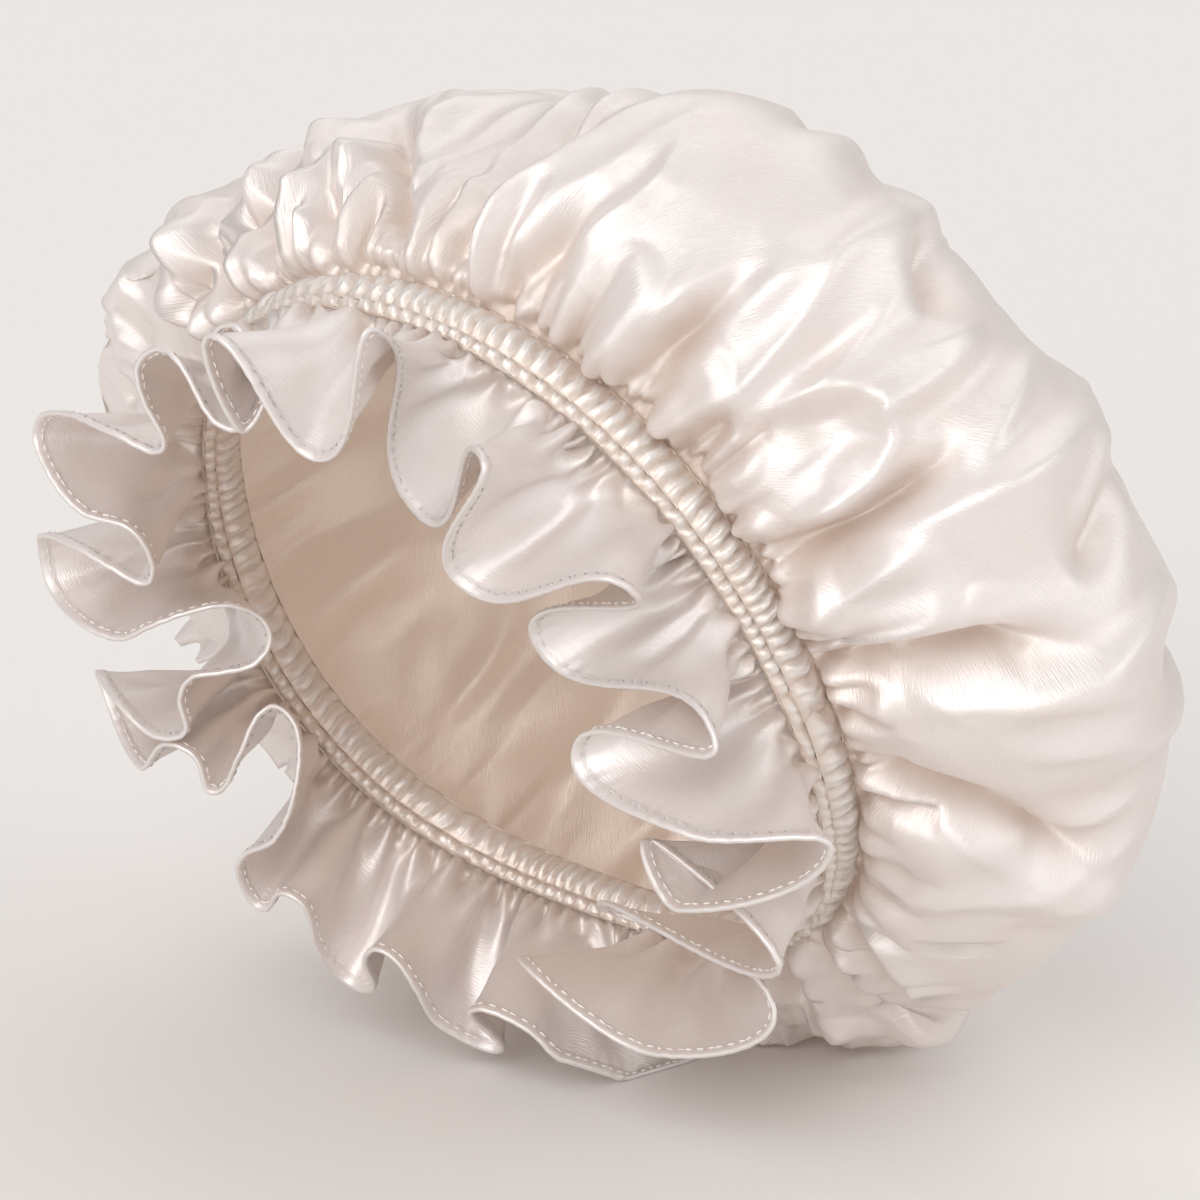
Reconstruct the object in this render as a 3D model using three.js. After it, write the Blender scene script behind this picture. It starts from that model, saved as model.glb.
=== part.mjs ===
// A satin bonnet lying on its side: a puffed crown gathered into a shirred elastic band,
// with a wavy ruffle round the mouth. Millimetres, +Z up, the floor at z = 0.
// The bonnet is posed as it rests: its mouth looks forward, to the left and a little down.
import * as THREE from "three";

const DEG = Math.PI / 180;

// The ring is the middle line of the band. Its height is that of its centre above the floor.
const RING = {
  radius: 87.4,
  height: 110.2,
  turn: -43.2,
  tilt: -24.5,
};

// How the worn ring departs from a flat circle: waves round it, outwards and towards the mouth.
const RING_WAVES = [
  { waves: 2, outCos: -1.7, outSin: -3.0, foreCos: -0.4, foreSin: 0.8 },
  { waves: 3, outCos: 2.7, outSin: 1.2, foreCos: 1.9, foreSin: -1.1 },
];

const BAND = { halfWidth: 6, pleats: 56, columnsPerPleat: 2, crease: 0.42 };

// The band's section, from the crown side to the ruffle side: place across it and half thickness.
const BAND_SECTION = [
  { fore: -6.0, half: 0.7 },
  { fore: -1.7, half: 2.1 },
  { fore: 2.6, half: 0.9 },
  { fore: 4.2, half: 1.6 },
  { fore: 6.0, half: 0.7 },
];

const CLEARANCE = 0.3;

const CROWN = {
  wall: 1.6,
  depth: 106.5,
  columns: 104,
  frontRows: 7,
  rowCrowding: 1.35,
  backRows: 8,
  smallPuffs: 26,
  smallPuffHeight: 2.2,
  largePuffs: 13,
  largePuffHeight: 1.6,
};

// The crown's sections, every 30 degrees round the ring from its highest point: how far the
// widest part stands from the ring's axis, and how far behind the ring's plane it lies.
const CROWN_SECTIONS = [
  { at: 0, bulge: 104, belly: 47 },
  { at: 30, bulge: 119, belly: 49 },
  { at: 60, bulge: 127, belly: 46 },
  { at: 90, bulge: 139, belly: 45 },
  { at: 120, bulge: 142, belly: 38 },
  { at: 150, bulge: 138, belly: 26 },
  { at: 180, bulge: 154, belly: 24 },
  { at: 210, bulge: 152, belly: 24 },
  { at: 240, bulge: 150, belly: 18 },
  { at: 270, bulge: 147, belly: 10 },
  { at: 300, bulge: 131, belly: 14 },
  { at: 330, bulge: 109, belly: 43 },
];

// Creases that run from the band over the crown. from and to are angles at the band and at the
// far end, start and end are distances along the cloth, and roll is the ridge beside the crease,
// on the side that its sign names.
const CREASES = [
  { from: 15, to: 20, start: 4, end: 62, deep: 5.0, wide: 6, roll: 4.0 },
  { from: 23, to: 29, start: 6, end: 80, deep: 5.0, wide: 7, roll: 3.5 },
  { from: 40, to: 48, start: 6, end: 66, deep: 6.0, wide: 9, roll: -3.5 },
  { from: 49, to: 58, start: 58, end: 100, deep: 6.0, wide: 9, roll: -3.0 },
  { from: 66, to: 67, start: 4, end: 80, deep: 7.5, wide: 8, roll: -3.5 },
  { from: 76, to: 83, start: 52, end: 110, deep: 6.0, wide: 9, roll: -3.0 },
  { from: 83, to: 90, start: 10, end: 88, deep: 6.5, wide: 9, roll: -3.5 },
  { from: 100, to: 113, start: 6, end: 74, deep: 8.0, wide: 10, roll: 4.0 },
  { from: 121, to: 146, start: 4, end: 44, deep: 4.5, wide: 6, roll: 3.0 },
  { from: 134, to: 152, start: 4, end: 52, deep: 5.0, wide: 6, roll: 3.0 },
  { from: 156, to: 161, start: 6, end: 56, deep: 4.5, wide: 7, roll: -3.0 },
  { from: 184, to: 178, start: 8, end: 70, deep: 5.0, wide: 9, roll: 3.0 },
  { from: 206, to: 212, start: 8, end: 80, deep: 5.0, wide: 10, roll: -3.0 },
  { from: 232, to: 226, start: 8, end: 74, deep: 5.5, wide: 9, roll: 3.0 },
  { from: 256, to: 262, start: 8, end: 84, deep: 5.5, wide: 10, roll: -3.0 },
  { from: 282, to: 278, start: 6, end: 70, deep: 5.5, wide: 9, roll: 3.0 },
  { from: 304, to: 300, start: 6, end: 72, deep: 5.5, wide: 8, roll: -3.0 },
  { from: 321, to: 317, start: 4, end: 46, deep: 5.0, wide: 7, roll: 3.0 },
  { from: 331, to: 327, start: 4, end: 70, deep: 7.0, wide: 7, roll: 4.0 },
  { from: 346, to: 341, start: 4, end: 56, deep: 4.5, wide: 6, roll: 3.0 },
  { from: 359, to: 353, start: 4, end: 54, deep: 5.0, wide: 6, roll: 3.5 },
];

// Single puffs and dents of the crown: angle, distance along the cloth, half sizes, height.
const PUFFS = [
  { at: 59, out: 34, across: 8, along: 13, height: -5.5 },
  { at: 46, out: 82, across: 14, along: 14, height: 2.0 },
  { at: 73, out: 92, across: 14, along: 15, height: 2.0 },
  { at: 23, out: 78, across: 15, along: 20, height: 2.5 },
  { at: 116, out: 22, across: 14, along: 18, height: 5.0 },
  { at: 93, out: 62, across: 18, along: 18, height: 4.5 },
  { at: 92, out: 12, across: 7, along: 7, height: 3.0 },
  { at: 2, out: 40, across: 13, along: 18, height: 2.0 },
  { at: 338, out: 44, across: 14, along: 20, height: 3.5 },
  { at: 312, out: 30, across: 16, along: 16, height: 4.5 },
  { at: 150, out: 40, across: 12, along: 14, height: 4.0 },
  { at: 62, out: 120, across: 16, along: 14, height: -4.0 },
  { at: 100, out: 108, across: 16, along: 16, height: -4.0 },
  { at: 12, out: 112, across: 14, along: 34, height: -4.5 },
  { at: 38, out: 152, across: 16, along: 20, height: 3.0 },
  { at: 132, out: 112, across: 15, along: 32, height: -4.5 },
  { at: 168, out: 132, across: 18, along: 24, height: 3.0 },
  { at: 214, out: 112, across: 16, along: 34, height: -5.0 },
  { at: 250, out: 128, across: 20, along: 24, height: 3.5 },
  { at: 288, out: 112, across: 15, along: 34, height: -5.0 },
  { at: 328, out: 120, across: 18, along: 24, height: 3.5 },
  { at: 200, out: 172, across: 18, along: 20, height: -3.5 },
];

const RUFFLE = {
  columnsPerBend: 5,
  rows: 3,
  wall: 1.2,
  hemWall: 2.0,
  rootGap: 0.8,
  roundness: 1.0,
};

// The bends of the ruffle's hem, in order round the ring: the angle that the bend leaves the band
// at, its lean outwards from the mouth's axis, its swing along the band, and its reach.
const BENDS = [
  { at: -55.5, lean: 38, swing: -9, reach: 40.3 },
  { at: -37.5, lean: -16, swing: 14, reach: 39.7 },
  { at: -26.1, lean: 18, swing: 17, reach: 39.7 },
  { at: -15.4, lean: -14, swing: 21, reach: 39.5 },
  { at: -5.7, lean: 25, swing: 10, reach: 39.9 },
  { at: 4.7, lean: -13, swing: 16, reach: 39.5 },
  { at: 14.6, lean: 44, swing: 14, reach: 39.8 },
  { at: 25.8, lean: -61, swing: -15, reach: 39.4 },
  { at: 36.8, lean: 31, swing: -2, reach: 39.9 },
  { at: 43.8, lean: -29, swing: -6, reach: 40.9 },
  { at: 54.6, lean: 35, swing: 9, reach: 39.9 },
  { at: 63.8, lean: -50, swing: -6, reach: 39.6 },
  { at: 74.6, lean: 32, swing: 5, reach: 39.9 },
  { at: 81.3, lean: -36, swing: -3, reach: 42.8 },
  { at: 89.1, lean: 8, swing: 0, reach: 40.0 },
  { at: 95.1, lean: 49, swing: -7, reach: 39.9 },
  { at: 105.6, lean: -10, swing: -2, reach: 39.9 },
  { at: 110.4, lean: -38, swing: -17, reach: 39.3 },
  { at: 119.4, lean: 19, swing: -24, reach: 39.7 },
  { at: 140.0, lean: -57, swing: 12, reach: 41.6 },
  { at: 148.2, lean: 13, swing: -53, reach: 39.2 },
  { at: 155.4, lean: 2, swing: -17, reach: 39.7 },
  { at: 165.8, lean: -32, swing: 11, reach: 40.1 },
  { at: 176.2, lean: 83, swing: -15, reach: 40.1 },
  { at: 188.5, lean: -2, swing: -8, reach: 39.7 },
  { at: 195.5, lean: 56, swing: -11, reach: 40.1 },
  { at: 206.2, lean: -10, swing: 2, reach: 39.8 },
  { at: 212.9, lean: 50, swing: -8, reach: 39.9 },
  { at: 221.0, lean: -3, swing: 10, reach: 39.7 },
  { at: 224.6, lean: 49, swing: -10, reach: 39.6 },
  { at: 228.3, lean: 4, swing: -5, reach: 39.3 },
  { at: 232.5, lean: 56, swing: 0, reach: 39.5 },
  { at: 241.6, lean: -47, swing: -8, reach: 39.8 },
  { at: 244.4, lean: -60, swing: 13, reach: 39.8 },
  { at: 247.4, lean: -1, swing: -20, reach: 39.9 },
  { at: 251.0, lean: 45, swing: -5, reach: 39.4 },
  { at: 255.0, lean: -18, swing: -20, reach: 39.7 },
  { at: 261.9, lean: 49, swing: -16, reach: 39.4 },
  { at: 266.0, lean: 37, swing: 7, reach: 41.2 },
  { at: 270.1, lean: -25, swing: -13, reach: 39.9 },
  { at: 273.1, lean: -62, swing: -6, reach: 40.0 },
  { at: 283.8, lean: 34, swing: -2, reach: 42.2 },
  { at: 294.0, lean: -27, swing: -1, reach: 40.0 },
];

const SATIN = { color: 0xe9e1dc, roughness: 0.38, metalness: 0 };
const SHIRRED_SATIN = { color: 0xf3e8dc, roughness: 0.45, metalness: 0 };

// Axes of the ring: out of the mouth, up the ring's plane, and to the right along the floor.
const fore = new THREE.Vector3(
  Math.sin(RING.turn * DEG) * Math.cos(RING.tilt * DEG),
  -Math.cos(RING.turn * DEG) * Math.cos(RING.tilt * DEG),
  Math.sin(RING.tilt * DEG),
);
const up = new THREE.Vector3(0, 0, 1).addScaledVector(fore, -fore.z).normalize();
const right = new THREE.Vector3().crossVectors(up, fore);
const centre = new THREE.Vector3(0, 0, RING.height);

function outward(angle) {
  return new THREE.Vector3()
    .addScaledVector(up, Math.cos(angle))
    .addScaledVector(right, Math.sin(angle));
}

function along(angle) {
  return outward(angle + Math.PI / 2);
}

// A point given by its angle, its distance from the ring's axis, and its place along that axis.
function place(angle, radius, forward) {
  return centre.clone().addScaledVector(outward(angle), radius).addScaledVector(fore, forward);
}

function ringRadius(angle) {
  let radius = RING.radius;
  for (const wave of RING_WAVES) {
    radius += wave.outCos * Math.cos(wave.waves * angle) + wave.outSin * Math.sin(wave.waves * angle);
  }
  return radius;
}

function ringLift(angle) {
  let lift = 0;
  for (const wave of RING_WAVES) {
    lift += wave.foreCos * Math.cos(wave.waves * angle) + wave.foreSin * Math.sin(wave.waves * angle);
  }
  return lift;
}

// A cubic that passes smoothly through b and c, with a and d the values before and after them.
function cubic(a, b, c, d, t) {
  return b + t * ((c - a) / 2 + t * (a - 2.5 * b + 2 * c - d / 2 + t * (1.5 * (b - c) + (d - a) / 2)));
}

function aroundTable(table, key, angle) {
  const count = table.length;
  const turns = (((angle / (2 * Math.PI)) % 1) + 1) % 1;
  const step = Math.floor(turns * count);
  const row = (offset) => table[(step + offset + count) % count][key];
  return cubic(row(-1), row(0), row(1), row(2), turns * count - step);
}

function smooth(low, high, value) {
  return THREE.MathUtils.smoothstep(value, low, high);
}

function bell(value) {
  return Math.exp(-value * value);
}

// The crown without its folds: share runs from 0 at the band to 1 at the widest part, then to 2
// at the middle of the back.
function crownBase(angle, share) {
  const bulge = aroundTable(CROWN_SECTIONS, "bulge", angle);
  const belly = aroundTable(CROWN_SECTIONS, "belly", angle);
  const rim = BAND.halfWidth + CLEARANCE;
  if (share <= 1) {
    const swing = (share * Math.PI) / 2;
    const inner = ringRadius(angle) - 0.5;
    const behind = rim + (belly - rim) * (1 - Math.cos(swing)) - ringLift(angle) * Math.cos(swing);
    return place(angle, inner + (bulge - inner) * Math.sin(swing), -behind);
  }
  const swing = ((share - 1) * Math.PI) / 2;
  const behind = belly + (CROWN.depth - belly) * Math.sin(swing);
  return place(angle, bulge * Math.cos(swing), -behind);
}

// Height of the folds over the crown's base, at an angle and a distance along the cloth, where
// the base stands at a radius from the ring's axis.
function foldHeight(angle, out, radius) {
  const turn = angle / DEG;
  const shortest = (from) => ((((turn - from + 180) % 360) + 360) % 360) - 180;
  let height = 0;
  const small = smooth(0, 8, out) * (1 - smooth(10, 40, out));
  const large = smooth(8, 24, out) * (1 - smooth(40, 90, out));
  height += CROWN.smallPuffHeight * small * Math.cos(CROWN.smallPuffs * angle);
  height += CROWN.largePuffHeight * large * Math.cos(CROWN.largePuffs * angle + Math.sin(3 * angle));
  for (const crease of CREASES) {
    const length = crease.end - crease.start;
    const share = THREE.MathUtils.clamp((out - crease.start) / length, 0, 1);
    const path = crease.from + (crease.to - crease.from) * share;
    const beside = shortest(path) * DEG * radius;
    const fade = smooth(crease.start - 4, crease.start + 8, out);
    const reach = fade * (1 - smooth(crease.end - 0.35 * length, crease.end + 8, out));
    const ridge = Math.sign(crease.roll) * crease.wide * 1.5;
    height -= crease.deep * reach * bell(beside / crease.wide);
    height += Math.abs(crease.roll) * reach * bell((beside - ridge) / crease.wide);
  }
  for (const puff of PUFFS) {
    const beside = (shortest(puff.at) * DEG * radius) / puff.across;
    height += puff.height * bell(beside) * bell((out - puff.out) / puff.along);
  }
  // Nothing rises beside the band's edge.
  return height > 0 ? height * smooth(3, 12, out) : height;
}

// Unit normals of a grid of points that closes round its columns, pointing to the left of the
// direction in which the rows are crossed by the columns.
function gridNormals(grid) {
  const columns = grid[0].length;
  return grid.map((row, i) =>
    row.map((point, j) => {
      const before = row[(j + columns - 1) % columns];
      const after = row[(j + 1) % columns];
      const low = grid[Math.max(i - 1, 0)][j];
      const high = grid[Math.min(i + 1, grid.length - 1)][j];
      const across = new THREE.Vector3().subVectors(after, before);
      const outwards = new THREE.Vector3().subVectors(high, low);
      return across.cross(outwards).normalize();
    }),
  );
}

function onFloor(point, least) {
  point.z = Math.max(point.z, least);
  return point;
}

// A mesh from triangles given as three points each, turned inside out if it came out so.
function solid(name, triangles, finish) {
  let volume = 0;
  for (const [a, b, c] of triangles) {
    volume += a.dot(new THREE.Vector3().crossVectors(b, c)) / 6;
  }
  const positions = [];
  for (const [a, b, c] of triangles) {
    for (const point of volume > 0 ? [a, b, c] : [a, c, b]) {
      positions.push(point.x, point.y, point.z);
    }
  }
  const geometry = new THREE.BufferGeometry();
  geometry.setAttribute("position", new THREE.Float32BufferAttribute(positions, 3));
  geometry.computeVertexNormals();
  const mesh = new THREE.Mesh(geometry, new THREE.MeshStandardMaterial(finish));
  mesh.name = name;
  return mesh;
}

function quads(lower, upper, closed) {
  const triangles = [];
  const count = lower.length;
  for (let j = 0; j < (closed ? count : count - 1); j += 1) {
    const k = (j + 1) % count;
    triangles.push([lower[j], lower[k], upper[k]], [lower[j], upper[k], upper[j]]);
  }
  return triangles;
}

function flipped(triangles) {
  return triangles.map(([a, b, c]) => [a, c, b]);
}

// The two faces of a wall and its open edges. Both faces are rows of points that close round the
// ring, cut along the same diagonals, so that the wall stays whole where the cloth is folded.
function wallFaces(front, back, closedEnd) {
  const last = front.length - 1;
  const triangles = quads(back[0], front[0], true);
  for (let i = 0; i < last; i += 1) {
    triangles.push(...quads(front[i], front[i + 1], true));
    triangles.push(...flipped(quads(back[i], back[i + 1], true)));
  }
  if (!closedEnd) {
    triangles.push(...quads(front[last], back[last], true));
  }
  return triangles;
}

function buildCrown() {
  const rows = CROWN.frontRows + CROWN.backRows;
  const base = [];
  for (let i = 0; i < rows; i += 1) {
    const front = i <= CROWN.frontRows;
    const share = front
      ? (i / CROWN.frontRows) ** CROWN.rowCrowding
      : 1 + (i - CROWN.frontRows) / CROWN.backRows;
    const row = [];
    for (let j = 0; j < CROWN.columns; j += 1) {
      row.push(crownBase((2 * Math.PI * j) / CROWN.columns, share));
    }
    base.push(row);
  }
  const normals = gridNormals(base);
  const travelled = new Array(CROWN.columns).fill(0);
  const skin = base.map((row, i) =>
    row.map((point, j) => {
      if (i > 0) {
        travelled[j] += point.distanceTo(base[i - 1][j]);
      }
      const angle = (2 * Math.PI * j) / CROWN.columns;
      const radius = point.clone().sub(centre).dot(outward(angle));
      const height = foldHeight(angle, travelled[j], radius);
      return point.clone().addScaledVector(normals[i][j], height);
    }),
  );
  const skinNormals = gridNormals(skin);
  const inner = skin.map((row, i) =>
    row.map((point, j) => {
      const lining = point.clone().addScaledVector(skinNormals[i][j], -CROWN.wall);
      return onFloor(lining, CROWN.wall);
    }),
  );
  const outer = skin.map((row) => row.map((point) => onFloor(point, 0)));
  const tip = place(0, 0, -CROWN.depth);
  const innerTip = place(0, 0, -CROWN.depth + CROWN.wall);
  const triangles = wallFaces(outer, inner, true);
  for (let j = 0; j < CROWN.columns; j += 1) {
    const k = (j + 1) % CROWN.columns;
    triangles.push([outer[rows - 1][j], outer[rows - 1][k], tip]);
    triangles.push([inner[rows - 1][k], inner[rows - 1][j], innerTip]);
  }
  return solid("crown", triangles, SATIN);
}

function buildBand() {
  const steps = BAND.pleats * BAND.columnsPerPleat;
  const face = (sign) =>
    BAND_SECTION.map((row) =>
      Array.from({ length: steps }, (_, i) => {
        const angle = (2 * Math.PI * i) / steps;
        const swell = i % BAND.columnsPerPleat === 0 ? 1 : 1 - BAND.crease;
        const half = row.half > 1 ? row.half * swell : row.half;
        return place(angle, ringRadius(angle) + sign * half, row.fore + ringLift(angle));
      }),
    );
  return solid("elastic_band", wallFaces(face(1), face(-1), false), SHIRRED_SATIN);
}

function ruffleRoot(angle) {
  return place(angle, ringRadius(angle), BAND.halfWidth + RUFFLE.rootGap + ringLift(angle));
}

function bendPoint(bend) {
  const angle = bend.at * DEG;
  const lean = bend.lean * DEG;
  const swing = bend.swing * DEG;
  return ruffleRoot(angle)
    .addScaledVector(fore, bend.reach * Math.cos(swing) * Math.cos(lean))
    .addScaledVector(outward(angle), bend.reach * Math.cos(swing) * Math.sin(lean))
    .addScaledVector(along(angle), bend.reach * Math.sin(swing));
}

// The hem between two bends, a cubic whose ends run along the band so that each wave is round.
function hemPoint(index, t) {
  const count = BENDS.length;
  const bend = (offset) => bendPoint(BENDS[(index + offset + count) % count]);
  const [before, start, end, after] = [bend(-1), bend(0), bend(1), bend(2)];
  const span = RUFFLE.roundness * start.distanceTo(end);
  const leaving = end.clone().sub(before).setLength(span);
  const arriving = after.clone().sub(start).setLength(span);
  const t2 = t * t;
  const t3 = t2 * t;
  return start
    .clone()
    .multiplyScalar(2 * t3 - 3 * t2 + 1)
    .addScaledVector(end, 3 * t2 - 2 * t3)
    .addScaledVector(leaving, t3 - 2 * t2 + t)
    .addScaledVector(arriving, t3 - t2);
}

function buildRuffle() {
  const rows = Array.from({ length: RUFFLE.rows + 1 }, () => []);
  BENDS.forEach((bend, index) => {
    const next = BENDS[(index + 1) % BENDS.length];
    const stretch = (next.at - bend.at + 360) % 360;
    for (let step = 0; step < RUFFLE.columnsPerBend; step += 1) {
      const t = step / RUFFLE.columnsPerBend;
      const root = ruffleRoot((bend.at + stretch * t) * DEG);
      const hem = hemPoint(index, t);
      rows.forEach((row, i) => {
        row.push(onFloor(root.clone().lerp(hem, i / RUFFLE.rows), RUFFLE.hemWall / 2));
      });
    }
  });
  // The wall turns only half way towards the root's own direction, where the waves die out.
  const normals = gridNormals(rows);
  normals[0].forEach((normal, j) => {
    normal.add(normals[1][j]);
    normal.addScaledVector(fore, -normal.dot(fore)).normalize();
  });
  const face = (sign) =>
    rows.map((row, i) =>
      row.map((point, j) => {
        const wall = i === RUFFLE.rows ? RUFFLE.hemWall : RUFFLE.wall;
        return onFloor(point.clone().addScaledVector(normals[i][j], (sign * wall) / 2), 0);
      }),
    );
  return solid("ruffle", wallFaces(face(1), face(-1), false), SATIN);
}

const bonnet = new THREE.Group();
bonnet.name = "bonnet";
bonnet.add(buildCrown(), buildBand(), buildRuffle());

// The origin is the middle of the bounding box on the floor.
const box = new THREE.Box3().setFromObject(bonnet);
const middle = box.getCenter(new THREE.Vector3());
for (const mesh of bonnet.children) {
  mesh.geometry.translate(-middle.x, -middle.y, 0);
}

export default bonnet;
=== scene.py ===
"""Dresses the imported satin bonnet: its gathered crown, its shirred elastic band, its hemmed ruffle
and their stitching, under soft studio light.

Lengths in the tables are millimetres, angles are degrees round the ring of the band, from its
highest point and clockwise as seen from the mouth. A mesh is made in metres, in the part's frame.
"""

import logging
import math
from dataclasses import dataclass
from enum import Enum
from typing import Sequence

import bmesh
import bpy
import numpy as np
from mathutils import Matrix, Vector


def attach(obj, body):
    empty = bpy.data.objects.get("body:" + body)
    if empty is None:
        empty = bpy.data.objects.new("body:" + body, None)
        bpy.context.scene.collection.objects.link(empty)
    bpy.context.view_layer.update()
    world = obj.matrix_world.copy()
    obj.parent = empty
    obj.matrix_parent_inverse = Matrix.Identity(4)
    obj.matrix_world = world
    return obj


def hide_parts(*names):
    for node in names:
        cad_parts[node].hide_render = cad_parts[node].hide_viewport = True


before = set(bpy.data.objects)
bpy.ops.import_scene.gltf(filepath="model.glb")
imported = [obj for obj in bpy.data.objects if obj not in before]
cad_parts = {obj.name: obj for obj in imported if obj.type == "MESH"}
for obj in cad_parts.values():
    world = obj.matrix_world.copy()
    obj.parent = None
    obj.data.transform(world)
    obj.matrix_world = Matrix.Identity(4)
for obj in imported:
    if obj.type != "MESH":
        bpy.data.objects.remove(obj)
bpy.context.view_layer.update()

logging.basicConfig(level=logging.INFO, format="%(message)s")
LOG = logging.getLogger("bonnet")

# A millimetre in metres, and the least height of ruffle and stitches above the ground.
MM = 0.001
CLEARANCE = 0.1
BODY = "root"

Array = np.ndarray


class Side(Enum):
    """The two faces of the cloth."""

    OUTER = 1
    INNER = -1


def smooth(low: float, high: float, value: Array) -> Array:
    """A smooth step from 0 at low to 1 at high."""
    share = np.clip((value - low) / (high - low), 0.0, 1.0)
    return share * share * (3.0 - 2.0 * share)


def bell(value: Array) -> Array:
    """A bell curve of height 1 and half width 1."""
    return np.exp(-value * value)


def unit(vectors: Array) -> Array:
    """The vectors with their length made 1."""
    length = np.linalg.norm(vectors, axis=-1, keepdims=True)
    return vectors / np.maximum(length, 1e-12)


def entries(kind: type, table: Sequence[tuple]) -> tuple:
    """One entry of the kind for each row of the table, whose columns are the kind's fields."""
    return tuple(kind(*row) for row in table)


def add_to_scene(name: str, bm: bmesh.types.BMesh) -> bpy.types.Object:
    """Makes a piece of that name from the mesh that was built, and frees the latter."""
    mesh = bpy.data.meshes.new(name)
    bm.to_mesh(mesh)
    bm.free()
    piece = bpy.data.objects.new(name, mesh)
    bpy.context.scene.collection.objects.link(piece)
    return piece


def set_values(node: bpy.types.Node, values: dict[str, object]) -> None:
    """Sets sockets of the node to plain values, by their names."""
    for socket, value in values.items():
        node.inputs[socket].default_value = value


def connect(tree: bpy.types.NodeTree, wires: Sequence[tuple]) -> None:
    """Joins sockets: each wire is a node and its output, then a node and its input."""
    for source, output, target, entry in wires:
        tree.links.new(source.outputs[output], target.inputs[entry])


def colour_mix(nodes: bpy.types.Nodes, **shades: tuple[float, float, float]) -> bpy.types.Node:
    """Adds a node that mixes two colours, A and B, of which the given ones are set."""
    mix = nodes.new("ShaderNodeMix")
    mix.data_type = "RGBA"
    set_values(mix, {socket: (*shade, 1.0) for socket, shade in shades.items()})
    return mix


def around_table(values: Sequence[float], angle: Array) -> Array:
    """Reads a table of evenly spaced values round the ring.

    Args:
        values: One value for each equal step round the ring.
        angle: Angles in radians.

    Returns:
        The values at those angles, on a smooth closed curve.
    """
    table = np.asarray(values, float)
    count = len(table)
    turns = np.mod(angle / (2.0 * np.pi), 1.0) * count
    step = np.floor(turns).astype(int)
    t = turns - step
    a, b, c, d = (table[(step + k) % count] for k in (-1, 0, 1, 2))
    cubic = 1.5 * (b - c) + (d - a) / 2
    return b + t * ((c - a) / 2 + t * (a - 2.5 * b + 2 * c - d / 2 + t * cubic))


def grid_normals(points: Array) -> Array:
    """Unit normals of a grid of points that closes round its columns.

    Args:
        points: Rows by columns by 3, with no doubled column.

    Returns:
        The normals, along columns crossed by rows.
    """
    across = np.roll(points, -1, axis=1) - np.roll(points, 1, axis=1)
    outwards = np.gradient(points, axis=0)
    return unit(np.cross(across, outwards))


@dataclass(frozen=True)
class Wave:
    """A wave of the worn ring: how many go round, and its size outwards and towards the mouth."""

    waves: int
    out_cos: float
    out_sin: float
    fore_cos: float
    fore_sin: float


@dataclass(frozen=True)
class Ring:
    """The middle line of the elastic band, a tilted circle that wear has bent a little."""

    centre: tuple[float, float, float] = (-14.98, -17.39, 110.2)
    radius: float = 87.4
    turn: float = -43.2
    tilt: float = -24.5
    waves: tuple[Wave, ...] = (
        Wave(2, -1.7, -3.0, -0.4, 0.8),
        Wave(3, 2.7, 1.2, 1.9, -1.1),
    )

    @property
    def fore(self) -> Array:
        """The axis out of the mouth."""
        turn, tilt = math.radians(self.turn), math.radians(self.tilt)
        return np.array(
            [math.sin(turn) * math.cos(tilt), -math.cos(turn) * math.cos(tilt), math.sin(tilt)]
        )

    @property
    def up(self) -> Array:
        """The direction of angle 0 in the ring's plane."""
        fore = self.fore
        return unit(np.array([0.0, 0.0, 1.0]) - fore * fore[2])

    @property
    def right(self) -> Array:
        """The direction of angle 90 in the ring's plane."""
        return np.cross(self.up, self.fore)

    def outward(self, angle: Array) -> Array:
        """Directions from the axis to the ring at the given angles."""
        angle = np.asarray(angle, float)[..., None]
        return np.cos(angle) * self.up + np.sin(angle) * self.right

    def along(self, angle: Array) -> Array:
        """Directions along the ring at the given angles."""
        return self.outward(np.asarray(angle, float) + np.pi / 2)

    def place(self, angle: Array, radius: Array, forward: Array) -> Array:
        """Points given by angle, distance from the axis and place along the axis."""
        radius = np.asarray(radius, float)[..., None]
        forward = np.asarray(forward, float)[..., None]
        return np.array(self.centre) + self.outward(angle) * radius + forward * self.fore

    def radius_at(self, angle: Array) -> Array:
        """Distance of the worn ring from its axis."""
        total = np.full_like(np.asarray(angle, float), self.radius)
        for wave in self.waves:
            total += wave.out_cos * np.cos(wave.waves * angle)
            total += wave.out_sin * np.sin(wave.waves * angle)
        return total

    def lift_at(self, angle: Array) -> Array:
        """How far the worn ring stands out towards the mouth."""
        total = np.zeros_like(np.asarray(angle, float))
        for wave in self.waves:
            total += wave.fore_cos * np.cos(wave.waves * angle)
            total += wave.fore_sin * np.sin(wave.waves * angle)
        return total


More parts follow.
